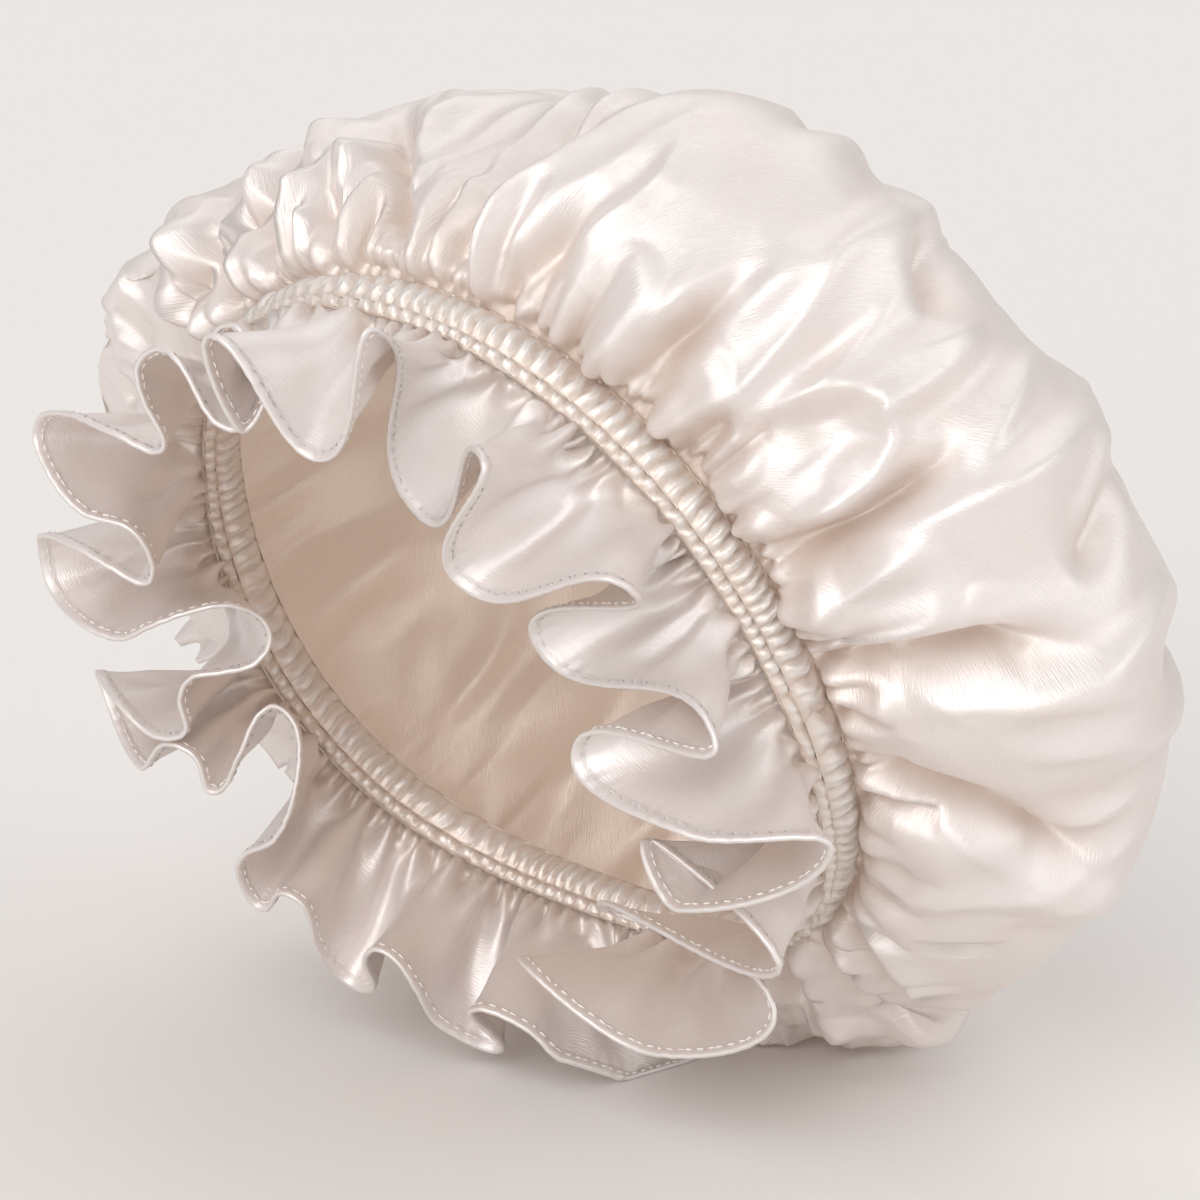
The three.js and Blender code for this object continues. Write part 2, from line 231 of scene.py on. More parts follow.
class ClothMesh:
    """Turns a grid of points into a mesh whose UV map is the flat cloth, in metres."""

    def __init__(self, name: str) -> None:
        """Starts a mesh with this name."""
        self.name = name

    def build(
        self, points: Array, flat: Array, painted_shade: Array, wrap_rows: bool = False
    ) -> bpy.types.Object:
        """Makes the mesh and welds its seam.

        Args:
            points: Rows by columns by 3, in millimetres, with no doubled column.
            flat: Rows by columns + 1 by 2, the place of each point on the flat cloth, in metres.
            painted_shade: Rows by columns, painted shade, from 0 dark in a fold to 1 on a crest.
            wrap_rows: Whether the last row joins the first, as in a shell with two faces.

        Returns:
            The new object, smooth, with its cells' numbers kept in the attribute "cell" and the
            painted shade of its folds in the attribute "crest".
        """
        points = np.concatenate([points, points[:, :1]], axis=1)
        painted_shade = np.concatenate([painted_shade, painted_shade[:, :1]], axis=1)
        if wrap_rows:
            points = np.concatenate([points, points[:1]], axis=0)
            flat = np.concatenate([flat, flat[:1]], axis=0)
            painted_shade = np.concatenate([painted_shade, painted_shade[:1]], axis=0)
        rows, columns = points.shape[:2]
        bm = bmesh.new()
        bmesh.ops.create_grid(bm, x_segments=columns - 1, y_segments=rows - 1, size=1.0)
        cell = bm.verts.layers.int.new("cell")
        crest = bm.verts.layers.float.new("crest")
        sheet = bm.loops.layers.uv.new("cloth")
        places = points.reshape(-1, 3) * MM
        spots = flat.reshape(-1, 2)
        # The painted shade of the folds, clipped to 0 to 1, kept for the material's colour.
        painted_shades = np.clip(painted_shade, 0.0, 1.0).reshape(-1)
        for index, vert in enumerate(bm.verts):
            vert.co = places[index]
            vert[cell] = index
            vert[crest] = painted_shades[index]
        for face in bm.faces:
            face.smooth = True
            for loop in face.loops:
                loop[sheet].uv = spots[loop.vert[cell]]
        bmesh.ops.remove_doubles(bm, verts=bm.verts, dist=1e-6)
        return add_to_scene(self.name, bm)


def recalculate(piece: bpy.types.Object) -> None:
    """Makes the faces of a closed piece point outwards."""
    bm = bmesh.new()
    bm.from_mesh(piece.data)
    bmesh.ops.recalc_face_normals(bm, faces=bm.faces)
    bm.to_mesh(piece.data)
    bm.free()


@dataclass(frozen=True)
class Drape:
    """How a piece of cloth settles: the simulation's length and the satin's stiffness."""

    frames: int = 18
    quality: int = 5
    weight: float = 0.12
    tension: float = 20.0
    compression: float = 20.0
    shear: float = 4.0
    bending: float = 0.3
    pressure: float = 5.0
    hold: float = 1.0
    furthest: float = 4.0

    def settle(self, piece: bpy.types.Object, rest: Array, held: Array) -> Array:
        """Lets the cloth settle towards its flat cut.

        Args:
            piece: The cloth, in the shape that it starts from.
            rest: The place of each vertex on the flat cloth, in metres.
            held: How firmly each vertex keeps its place, from 0 to 1.

        Returns:
            How far each vertex moves, in metres.
        """
        mesh = piece.data
        count = len(mesh.vertices)
        start = np.empty(count * 3)
        mesh.vertices.foreach_get("co", start)
        piece.shape_key_add(name="start")
        flat = piece.shape_key_add(name="flat")
        flat.data.foreach_set("co", rest.reshape(-1))
        group = piece.vertex_groups.new(name="held")
        for level in np.unique(np.round(held, 2)):
            members = np.nonzero(np.abs(np.round(held, 2) - level) < 1e-9)[0]
            group.add(members.tolist(), float(level), "REPLACE")
        cloth = piece.modifiers.new("cloth", "CLOTH")
        settings = cloth.settings
        settings.quality = self.quality
        settings.mass = self.weight
        settings.tension_stiffness = self.tension
        settings.compression_stiffness = self.compression
        settings.shear_stiffness = self.shear
        settings.bending_stiffness = self.bending
        settings.vertex_group_mass = "held"
        settings.pin_stiffness = self.hold
        settings.rest_shape_key = flat
        settings.use_pressure = True
        settings.uniform_pressure_force = self.pressure
        settings.effector_weights.gravity = 0.0
        cloth.collision_settings.use_collision = False
        cloth.point_cache.frame_start = 1
        cloth.point_cache.frame_end = self.frames
        scene = bpy.context.scene
        for number in range(1, self.frames + 1):
            scene.frame_set(number)
        settled = piece.evaluated_get(bpy.context.evaluated_depsgraph_get()).data
        end = np.empty(count * 3)
        settled.vertices.foreach_get("co", end)
        piece.modifiers.remove(cloth)
        scene.frame_set(1)
        moved = (end - start).reshape(-1, 3)
        length = np.linalg.norm(moved, axis=1, keepdims=True)
        far, mean = length.max() / MM, length.mean() / MM
        LOG.info("%s moved %.1f mm at most, %.1f mm on average", piece.name, far, mean)
        cap = self.furthest * MM
        return moved * cap * np.tanh(length / cap) / np.maximum(length, 1e-9)


@dataclass(frozen=True)
class Crease:
    """A crease over the crown: its angles at the band and at the far end, its reach along the
    cloth, its depth and width, and the ridge beside it on the side that its sign names."""

    near: float
    far: float
    start: float
    end: float
    deep: float
    wide: float
    roll: float


@dataclass(frozen=True)
class Puff:
    """A single swell or dent of the crown: its place, its half sizes and its height."""

    at: float
    out: float
    across: float
    along: float
    height: float


@dataclass(frozen=True)
class Bulb:
    """A round-ended gather at the band: its angles at the band and at its end, its reach along
    the cloth, its half width, its height and the depth of the dimple in its end."""

    near: float
    far: float
    reach: float
    half: float
    height: float
    dimple: float = 0.0


@dataclass(frozen=True)
class Fold:
    """A ridge or valley of the crown.

    Its line is a row of points, each an angle and a distance along the cloth. Its height is below
    0 for a valley. Its flanks' widths are on the sides of smaller and of larger angles, and it
    fades over these shares of its line at its start and at its end.
    """

    line: tuple[tuple[float, float], ...]
    height: float
    before: float
    after: float
    crest: float = 1.6
    fade: tuple[float, float] = (0.2, 0.45)


@dataclass(frozen=True)
class Pinch:
    """A pinched valley between two gathers: its angles at the band and at its end, its reach
    along the cloth, its depth and its half width."""

    near: float
    far: float
    reach: float
    depth: float
    half: float


@dataclass(frozen=True)
class Gathers:
    """A round of gathers at the band: how many, the ranges of the reach, depth and half width of
    the valleys between them, how far they lean in degrees, and the seed of their differences."""

    count: int
    reach: tuple[float, float]
    depth: tuple[float, float]
    half: tuple[float, float]
    lean: float
    seed: int

    def pinches(self) -> list[Pinch]:
        """The valleys, one by one."""
        rng = np.random.default_rng(self.seed)
        made = []
        for number in range(self.count):
            near = (number + rng.uniform(-0.38, 0.38)) * 360.0 / self.count
            share = rng.uniform(0, 1)
            reach = self.reach[0] + (self.reach[1] - self.reach[0]) * share
            depth = self.depth[0] + (self.depth[1] - self.depth[0]) * share
            far = near + rng.uniform(-self.lean, self.lean)
            made.append(Pinch(near, far, reach, depth, rng.uniform(*self.half)))
        return made


@dataclass(frozen=True)
class Wrinkles:
    """Small soft folds all over the crown: how many, the ranges of their start, length, height
    and width, how far they turn in degrees, and the seed of their differences."""

    count: int
    start: tuple[float, float]
    length: tuple[float, float]
    height: tuple[float, float]
    width: tuple[float, float]
    lean: float
    seed: int

    def folds(self) -> list[Fold]:
        """The wrinkles, one by one."""
        rng = np.random.default_rng(self.seed)
        made = []
        for number in range(self.count):
            at = (number + rng.uniform(-0.45, 0.45)) * 360.0 / self.count
            near = rng.uniform(*self.start)
            far = near + rng.uniform(*self.length)
            turn = rng.uniform(-self.lean, self.lean)
            bow = rng.uniform(-0.4, 0.4) * self.lean
            line = ((at, near), (at + turn / 2 + bow, (near + far) / 2), (at + turn, far))
            height = rng.uniform(*self.height) * (1 if rng.uniform() < 0.62 else -1)
            wide = rng.uniform(*self.width)
            made.append(Fold(line, height, wide, wide * rng.uniform(0.6, 1.6), 1.0, (0.35, 0.45)))
        return made


@dataclass(frozen=True)
class Billow:
    """A round of soft folds: how many, where along the cloth they start and end, their height
    and the seed of their differences."""

    count: int
    start: float
    end: float
    height: float
    seed: int


@dataclass(frozen=True)
class Cloth:
    """Places on the crown's cloth: the turn round the ring in degrees, the distance along the
    cloth from the band and the distance from the ring's axis, rows by columns."""

    turn: Array
    out: Array
    radius: Array

    def beside(self, at: Array) -> Array:
        """Distance round the crown from the given angle, in millimetres."""
        return np.radians(np.mod(self.turn - at + 180.0, 360.0) - 180.0) * self.radius

    def pinch_height(self, pinch: Pinch) -> Array:
        """Height, below 0, of one pinched valley."""
        share = np.clip(self.out / pinch.reach, 0.0, 1.0)
        across = self.beside(pinch.near + (pinch.far - pinch.near) * share)
        half = pinch.half * (0.75 + 0.9 * share)
        edge = 0.35 * pinch.half
        shape = np.exp(-(np.sqrt(across**2 + edge**2) - edge) / half) * bell(across / (3 * half))
        return -pinch.depth * shape * (1 - share) ** 0.8

    def bulb_height(self, bulb: Bulb) -> Array:
        """Height of one round-ended gather."""
        share = np.clip(self.out / bulb.reach, 0.0, 1.0)
        across = self.beside(bulb.near + (bulb.far - bulb.near) * share)
        beyond = np.maximum(self.out - bulb.reach, 0.0)
        distance = np.hypot(across, beyond) / (bulb.half * (0.6 + 0.4 * share))
        top = np.maximum(1.0 - distance**2, 0.0) * bell(0.5 * distance)
        top = top * (0.35 + 0.65 * smooth(0.0, 0.6, share))
        dent = bell(distance / 0.5) * bell((self.out - 0.8 * bulb.reach) / (0.45 * bulb.reach))
        return bulb.height * top - bulb.dimple * dent

    def fold_height(self, fold: Fold) -> Array:
        """Height of one ridge or valley."""
        best = np.full_like(self.out, 1e9)
        side = np.zeros_like(self.out)
        place = np.zeros_like(self.out)
        pieces = len(fold.line) - 1
        for number, (start, end) in enumerate(zip(fold.line, fold.line[1:])):
            x, y = -self.beside(start[0]), start[1] - self.out
            along_x, along_y = -self.beside(end[0]) - x, end[1] - start[1]
            share = -(x * along_x + y * along_y) / (along_x**2 + along_y**2 + 1e-9)
            share = np.clip(share, 0.0, 1.0)
            distance = np.hypot(x + share * along_x, y + share * along_y)
            near = distance < best
            best = np.where(near, distance, best)
            side = np.where(near, x * along_y - y * along_x, side)
            place = np.where(near, (number + share) / pieces, place)
        signed = np.where(side < 0, best, -best)
        blend = 0.5 + 0.5 * np.tanh(signed / (0.5 * (fold.before + fold.after)))
        width = fold.before * (1 - blend) + fold.after * blend
        shape = np.exp(-(np.sqrt(best**2 + fold.crest**2) - fold.crest) / width)
        shape = shape * bell(best / (2.6 * width))
        shape = shape * smooth(-0.02, fold.fade[0], place) * (1 - smooth(1 - fold.fade[1], 1.02, place))
        return fold.height * shape


@dataclass
class Crown:
    """The puffed satin bag behind the band."""

    ring: Ring
    columns: int = 800
    front_rows: int = 76
    back_rows: int = 44
    crowding: float = 1.35
    rim: float = 6.3
    depth: float = 106.5
    flat_radius: float = 232.0
    coarse: int = 2
    grip: float = 0.01
    drape: Drape = Drape()
    bulge: tuple[float, ...] = (104, 119, 127, 139, 142, 138, 154, 152, 150, 147, 131, 109)
    belly: tuple[float, ...] = (47, 49, 46, 45, 38, 26, 24, 24, 18, 10, 14, 43)
    creases: tuple[Crease, ...] = entries(Crease, (
        (184, 178, 8, 70, 5.0, 9, 3.0), (206, 212, 8, 80, 5.0, 10, -3.0),
        (232, 226, 8, 74, 5.5, 9, 3.0), (256, 262, 8, 84, 5.5, 10, -3.0),
        (282, 278, 6, 70, 5.5, 9, 3.0), (304, 300, 6, 72, 5.5, 8, -3.0),
    ))
    valleys: tuple[Fold, ...] = entries(Fold, (
        (((-52, 3), (-53, 18), (-55, 40)), -8, 4, 4),
        (((-39.5, 3), (-41, 20), (-42.5, 38)), -9, 4, 5),
        (((-28.5, 3), (-29.5, 24), (-31.5, 52)), -9, 5, 4),
        (((-14.5, 2), (-15, 9), (-18, 19), (-22, 32)), -6, 3, 4),
        (((-0.5, 2), (-2, 11), (-7, 24), (-14, 36), (-19, 46), (-23, 58)), -9, 3.5, 4),
        (((11, 2), (10.5, 10), (11.3, 22), (12.3, 34), (13.8, 45), (15, 60)), -8.5, 10, 2.5),
        (((20.7, 2), (20.5, 10), (21.4, 18), (23, 28), (24.5, 38)), -7, 4, 5),
        (((39.5, 2), (39.5, 10), (40, 18), (41.3, 27), (42, 36), (43.5, 47)), -10, 2.5, 6),
        (((50.5, 2), (51, 12), (51.3, 24)), -6, 3, 4),
        (((49, 96), (51.5, 86), (55, 76), (58, 66)), -7, 7, 5, 2.5, (0.5, 0.4)),
        (((68.8, 2), (69, 15), (69, 30), (68.6, 44), (68, 58)), -11, 2.5, 4.5),
        (((83.6, 2), (83.7, 15), (84.2, 28), (85, 40), (87, 50), (90, 61)), -10, 2.5, 7),
        (((79, 96), (80.5, 84), (82.5, 72), (84, 62)), -6, 4, 10, 2.5, (0.5, 0.4)),
        (((98.8, 2), (100.3, 12), (103, 22), (106, 31), (109, 40), (113, 50), (119, 62)), -10, 5, 3),
        (((128.5, 3), (132, 11), (137, 21), (143, 31), (148, 40)), -8, 3, 5),
        (((140.5, 3), (144, 15), (148, 28), (151, 42)), -8, 4, 4),
        (((152, 6), (155, 17), (159, 32)), -7, 4, 4),
    ))
    folds: tuple[Fold, ...] = entries(Fold, (
        (((-20, 14), (-22, 25), (-27, 40), (-32, 54)), 3.5, 5, 6),
        (((-1.5, 14), (-4, 24), (-9, 36), (-15, 48), (-22, 62)), 3.5, 4, 4),
        (((-8, 38), (-12, 52), (-18, 62)), 2.5, 4, 4),
        (((14, 3), (13.2, 14), (13.8, 24), (16, 33), (18.6, 46), (20, 60), (21, 74)), 5.0, 2.5, 8, 1.2),
        (((24.2, 18), (26, 28), (28, 37), (28.6, 45), (27, 55), (24.5, 64)), 3.5, 5, 5, 1.0),
        (((38.2, 4), (38.4, 14), (38.6, 24), (39.5, 34), (41, 46)), 4.0, 7, 2.5, 1.2),
        (((42, 16), (43, 30), (45, 42), (47, 55), (47.8, 66), (47, 78), (46, 92)), 4.5, 7, 10, 2.0),
        (((53, 20), (54.5, 34), (57, 42), (60, 46.5), (63.8, 44), (66, 37), (66.4, 28), (65.5, 16)),
         4.5, 4, 4, 1.2, (0.15, 0.15)),
        (((70.8, 20), (71.3, 34), (72.3, 50), (73.5, 66), (74.5, 82), (75.8, 100)), 5.0, 3, 9, 1.4),
        (((76.5, 100), (78, 88), (79.8, 76), (82, 64)), 3.5, 8, 3.5, 2.0, (0.5, 0.4)),
        (((82.4, 6), (82.6, 20), (82.5, 34), (83.6, 46), (87, 57)), 4.0, 9, 2.5, 1.2),
        (((88, 20), (91, 32), (92.5, 46), (94.5, 60), (97, 76), (101, 94)), 4.0, 4, 9, 1.6),
        (((106, 21), (111, 32), (116, 42), (120, 54), (125, 68)), 3.5, 7, 12, 1.2),
        (((124, 3), (127.5, 11), (133.5, 22), (139.5, 31), (145, 40)), 5.0, 12, 2.5, 1.2),
        (((134, 3), (139, 14), (144, 26), (149, 38)), 3.5, 5, 4),
        (((146.5, 4), (150, 16), (154, 30), (156, 42)), 4.0, 5, 4),
        (((158, 6), (162, 20), (164, 38), (165, 52)), 4.0, 6, 6),
    ))
    bulbs: tuple[Bulb, ...] = entries(Bulb, (
        (-46, -47, 34, 9, 2.5, 0.5), (-33, -34, 36, 8, 2.5, 0.5), (-21, -24, 38, 8, 2.5, 0.5),
        (-8, -10, 30, 7, 3.0, 0.5), (4.5, 4.5, 22, 8, 4.0, 3.0), (33, 33, 24, 8.5, 4.0, 3.0),
        (46, 46.3, 20, 8, 3.5, 2.5), (55.5, 56, 16, 6, 3.0, 1.0), (64, 64.5, 10, 5.5, 3.5, 1.5),
        (75, 75, 13, 7, 3.5, 2.5), (76.5, 77, 32, 11, 3.5, 3.0), (81, 81, 10, 4, 3.0, 1.0),
        (89.5, 89.5, 14, 7, 4.0, 3.0), (112, 114, 16, 14, 4.0, 2.0), (134, 138, 22, 7, 3.0, 0.5),
    ))
    puffs: tuple[Puff, ...] = entries(Puff, (
        (8, 46, 8, 14, -4.5), (59, 33, 8, 12, -5.5), (59, 26, 4, 5, 2.0), (63.5, 36, 4, 7, 2.2),
        (46, 82, 14, 14, 2.5), (73, 92, 14, 15, 2.5), (76, 60, 12, 12, 2.5),
        (23, 78, 15, 20, 2.5), (94, 62, 17, 17, 4.5), (118, 57, 8, 7, 3.0),
        (338, 44, 14, 20, 3.0), (312, 30, 16, 16, 3.5), (62, 120, 16, 14, -4.0),
        (100, 108, 16, 16, -4.0), (12, 112, 14, 34, -4.5), (38, 152, 16, 20, 3.0),
        (132, 112, 15, 32, -4.5), (168, 132, 18, 24, 3.0), (214, 112, 16, 34, -5.0),
        (250, 128, 20, 24, 3.5), (288, 112, 15, 34, -5.0), (328, 120, 18, 24, 3.5),
        (200, 172, 18, 20, -3.5),
    ))
    small_gathers: Gathers = Gathers(124, (9.0, 22.0), (3.4, 5.4), (0.9, 1.4), 1.2, 3)
    gathers: Gathers = Gathers(50, (18.0, 42.0), (7.0, 11.5), (1.7, 2.8), 2.4, 11)
    wrinkles: tuple[Wrinkles, ...] = (
        Wrinkles(64, (8.0, 28.0), (24.0, 60.0), (1.2, 2.8), (3.5, 6.0), 6.0, 17),
        Wrinkles(36, (34.0, 80.0), (50.0, 90.0), (2.5, 5.0), (5.5, 10.0), 10.0, 29),
        Wrinkles(24, (95.0, 150.0), (50.0, 90.0), (3.0, 5.5), (8.0, 14.0), 24.0, 31),
    )
    far_gathers: Gathers = Gathers(22, (30.0, 75.0), (5.0, 8.0), (3.5, 6.0), 5.0, 7)
    lift: float = 5.5
    boldness: float = 1.3
    billow_rounds: tuple[Billow, ...] = (
        Billow(47, 14.0, 80.0, 3.4, 41),
        Billow(31, 34.0, 150.0, 5.0, 43),
        Billow(19, 90.0, 215.0, 5.0, 47),
    )
    sink: tuple[float, float] = (0.3, 0.55)
    softness: float = 1.6
    calm: float = 0.72
    clearance: float = 0.3
    plain: tuple[float, float] = (24.0, 112.0)
    hidden: tuple[float, ...] = (168.0, 205.0, 290.0, 312.0)
    unseen: tuple[float, ...] = (160.0, 185.0, 292.0, 312.0)
    behind: tuple[float, float] = (108.0, 140.0)
    far_side: tuple[float, float] = (168.0, 300.0)

    def base(self, angle: Array, share: Array) -> Array:
        """The crown without its folds.

        Args:
            angle: Angles in radians, one for each column.
            share: 0 at the band, 1 at the widest part, 2 at the middle of the back, for each row.

        Returns:
            Points, rows by columns by 3.
        """
        share = share[:, None]
        angle = np.broadcast_to(angle[None, :], (share.shape[0], len(angle)))
        bulge = around_table(self.bulge, angle)
        belly = around_table(self.belly, angle)
        inner = self.ring.radius_at(angle) - 0.5
        swing = np.minimum(share, 1.0) * np.pi / 2
        behind = self.rim + (belly - self.rim) * (1 - np.cos(swing))
        behind = behind - self.ring.lift_at(angle) * np.cos(swing)
        radius = inner + (bulge - inner) * np.sin(swing)
        later = np.maximum(share - 1.0, 0.0) * np.pi / 2
        behind = np.where(share > 1, belly + (self.depth - belly) * np.sin(later), behind)
        radius = np.where(share > 1, bulge * np.cos(later), radius)
        return self.ring.place(angle, radius, -behind)

    def billows(self, cloth: Cloth) -> Array:
        """Height of the soft folds that run out from the band and fade into each other."""
        turn, out = np.radians(cloth.turn), cloth.out
        height = np.zeros_like(out)
        for billow in self.billow_rounds:
            rng = np.random.default_rng(billow.seed)
            phase = billow.count * turn
            for size, waves, pitch in ((1.5, 5, 31.0), (1.2, 9, -23.0), (0.7, 17, 15.0)):
                phase = phase + size * np.sin(waves * turn + out / pitch + rng.uniform(0, 6.3))
            patch = np.sin(7 * turn + out / 27.0 + rng.uniform(0, 6.3))
            patch = patch + np.sin(12 * turn - out / 19.0 + rng.uniform(0, 6.3))
            span = smooth(billow.start - 10.0, billow.start + 14.0, out)
            span = span * (1 - smooth(billow.end - 30.0, billow.end, out))
            ridge = 1.0 - np.abs(np.sin(phase / 2)) ** 1.25
            height += billow.height * span * smooth(-0.7, 1.1, patch) * (ridge - 0.45)
        return height

    def fold_height(self, angle: Array, out: Array, radius: Array) -> tuple[Array, Array]:
        """Height of all folds over the smooth crown.

        Args:
            angle: Angles in radians, one for each column.
            out: Distance along the cloth from the band, rows by columns.
            radius: Distance from the ring's axis, rows by columns.

        Returns:
            Heights and the painted shade of the folds, from 0 dark to 1 light, both rows by columns.
        """
        cloth = Cloth(np.degrees(angle)[None, :], out, radius)
        fine = np.zeros_like(out)
        for pinch in self.small_gathers.pinches():
            fine += cloth.pinch_height(pinch)
        deep = np.zeros_like(out)
        for pinch in self.gathers.pinches():
            deep = np.minimum(deep, cloth.pinch_height(pinch))
        for pinch in self.far_gathers.pinches():
            if self.far_side[0] < pinch.near % 360 < self.far_side[1]:
                deep = np.minimum(deep, cloth.pinch_height(pinch))
        for fold in self.valleys:
            deep = np.minimum(deep, self.boldness * cloth.fold_height(fold))
        low, deep_in, deep_out, high = self.hidden
        calm = self.calm * smooth(low, deep_in, cloth.turn)
        calm = 1.0 - calm * (1 - smooth(deep_out, high, cloth.turn))
        fine = fine * calm
        deep = deep * calm * (0.35 + 0.65 * smooth(0.0, 18.0, out))
        height = self.lift * calm**2 * smooth(0.0, 7.0, out) * (1 - smooth(12.0, 44.0, out)) + deep
        for bulb in self.bulbs:
            height += cloth.bulb_height(bulb)
        for crease in self.creases:
            length = crease.end - crease.start
            share = np.clip((out - crease.start) / length, 0, 1)
            across = cloth.beside(crease.near + (crease.far - crease.near) * share)
            reach = smooth(crease.start - 4, crease.start + 8, out)
            reach = reach * (1 - smooth(crease.end - 0.35 * length, crease.end + 8, out))
            ridge = math.copysign(crease.wide * 1.5, crease.roll)
            height -= calm * crease.deep * reach * bell(across / crease.wide)
            height += calm * abs(crease.roll) * reach * bell((across - ridge) / crease.wide)
        rise = sum(self.boldness * cloth.fold_height(fold) for fold in self.folds)
        soft = self.billows(cloth) * (calm + (1 - calm) * smooth(30.0, 75.0, out))
        height += rise + soft
        low, deep_in, deep_out, high = self.unseen
        unseen = smooth(low, deep_in, cloth.turn) * (1 - smooth(deep_out, high, cloth.turn))
        unseen = np.maximum(unseen, smooth(*self.behind, out))
        for wrinkles in self.wrinkles:
            for fold in wrinkles.folds():
                height += calm * unseen * cloth.fold_height(fold)
        for puff in self.puffs:
            across = cloth.beside(puff.at) / puff.across
            height += puff.height * bell(across) * bell((out - puff.out) / puff.along)
        floor = self.sink[0] + self.sink[1] * out
        height = self.softness * np.logaddexp(0.0, (height + floor) / self.softness) - floor
        height = (height + fine) * smooth(-0.5, 4.0, out)
        height = height * np.where(out > 100.0, smooth(*self.plain, radius), 1.0)
        # Painted shade: darker in the valleys of the gathers and folds, and along the seam at the band.
        crest = 0.92 + 0.12 * fine + 0.05 * (deep + rise + soft) - 0.3 * (1 - smooth(0.0, 5.0, out))
        return np.maximum(height, -1.2 * floor), crest

    def skin(self) -> tuple[Array, Array, Array]:
        """The folded cloth.

        Returns:
            Its points in millimetres, its places on the flat cloth in metres and the painted shade of
            its folds.
        """
        front = np.linspace(0, 1, self.front_rows + 1) ** self.crowding
        back = 1 + np.linspace(0, 1, self.back_rows + 1)[1:]
        share = np.concatenate([front, back])
        angle = np.linspace(0, 2 * np.pi, self.columns, endpoint=False)
        base = self.base(angle, share)
        step = np.linalg.norm(np.diff(base, axis=0), axis=2)
        out = np.concatenate([np.zeros((1, self.columns)), np.cumsum(step, axis=0)])
        radius = (base - np.array(self.ring.centre)) @ self.ring.outward(angle).T
        radius = np.stack([radius[:, j, j] for j in range(self.columns)], axis=1)
        height, crest = self.fold_height(angle, out, radius)
        height[-1] = height[-1].mean()
        normals = grid_normals(base)
        normals[-1] = -self.ring.fore
        points = base + normals * height[..., None]
        points[..., 2] = np.maximum(points[..., 2], self.clearance)
        whole = out[-1:]
        around = np.append(angle, 2 * np.pi)
        spoke = np.stack([np.cos(around), np.sin(around)], axis=1)
        left = np.concatenate([whole - out, (whole - out)[:, :1]], axis=1)
        flat = spoke[None] * left[..., None] * MM
        return points, flat, crest

    def settle(self, points: Array, flat: Array) -> Array:
        """Lets the crown puff out from its flat cut, held at the band.

        Args:
            points: The folded cloth, in millimetres.
            flat: The place of each point on the flat cloth, in metres.

        Returns:
            How far each point moves, in millimetres.
        """
        step = self.coarse
        sparse = points[::step, ::step]
        places = flat[::step, ::step]
        piece = ClothMesh("drape").build(sparse, places, np.ones(sparse.shape[:2]))
        cells = np.empty(len(piece.data.vertices), np.int32)
        piece.data.attributes["cell"].data.foreach_get("value", cells)
        row, column = cells // places.shape[1], cells % places.shape[1]
        spot = places[row, column]
        rest = np.concatenate([spot, np.zeros((len(spot), 1))], axis=1)
        held = np.where(row == 0, 1.0, self.grip)
        moved = self.drape.settle(piece, rest, held) / MM
        bpy.data.objects.remove(piece)
        grid = np.zeros((*sparse.shape[:2], 3))
        grid[row, np.mod(column, sparse.shape[1])] = moved
        grid[-1] = moved[row == row.max()].mean(axis=0)
        grid = np.concatenate([grid, grid[:, :1]], axis=1)
        rows, columns = points.shape[:2]
        down = np.arange(rows) / step
        over = np.arange(columns) / step
        i, j = np.minimum(down.astype(int), grid.shape[0] - 2), over.astype(int)
        u, w = (down - i)[:, None, None], (over - j)[None, :, None]
        near = grid[i][:, j] * (1 - w) + grid[i][:, j + 1] * w
        far = grid[i + 1][:, j] * (1 - w) + grid[i + 1][:, j + 1] * w
        return near * (1 - u) + far * u

    def build(self) -> bpy.types.Object:
        """Builds the crown's cloth and seats it on its node."""
        points, flat, crest = self.skin()
        points = points + self.settle(points, flat)
        points[..., 2] = np.maximum(points[..., 2], self.clearance)
        piece = ClothMesh("crown_cloth").build(points, flat, crest)
        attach(piece, BODY)
        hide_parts("crown")
        return piece


@dataclass(frozen=True)
class Stitch:
    """One stitch: its middle, half its length as a vector, and the way up from the cloth."""

    spot: Array
    along: Array
    up: Array


@dataclass
class Stitching:
    """A row of small rounded stitches, made from one by doubling it."""

    name: str
    slot: str
    thick: float = 0.24

    def build(self, stitches: list[Stitch]) -> bpy.types.Object:
        """Builds the stitches as one piece.

        Args:
            stitches: The places of all stitches.

        Returns:
            The new object.
        """
        bm = bmesh.new()
        bmesh.ops.create_uvsphere(bm, u_segments=6, v_segments=4, radius=1.0)
        size = len(bm.verts)
        while len(bm.verts) < size * len(stitches):
            bmesh.ops.duplicate(bm, geom=[*bm.verts, *bm.edges, *bm.faces])
        surplus = list(bm.verts)[size * len(stitches):]
        bmesh.ops.delete(bm, geom=surplus, context="VERTS")
        bm.verts.ensure_lookup_table()
        for number, vert in enumerate(bm.verts):
            stitch = stitches[number // size]
            side = unit(np.cross(stitch.up, stitch.along))
            x, y, z = vert.co
            fuller = 1.0 - 0.25 * z * z
            over = unit(np.cross(stitch.along, side))
            offset = stitch.along * z + (side * x + over * y) * self.thick * fuller
            vert.co = (stitch.spot + offset) * MM
            vert.co.z = max(vert.co.z, CLEARANCE * MM)
        for face in bm.faces:
            face.smooth = True
        bmesh.ops.recalc_face_normals(bm, faces=bm.faces)
        piece = add_to_scene(self.name, bm)
        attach(piece, BODY)
        return piece


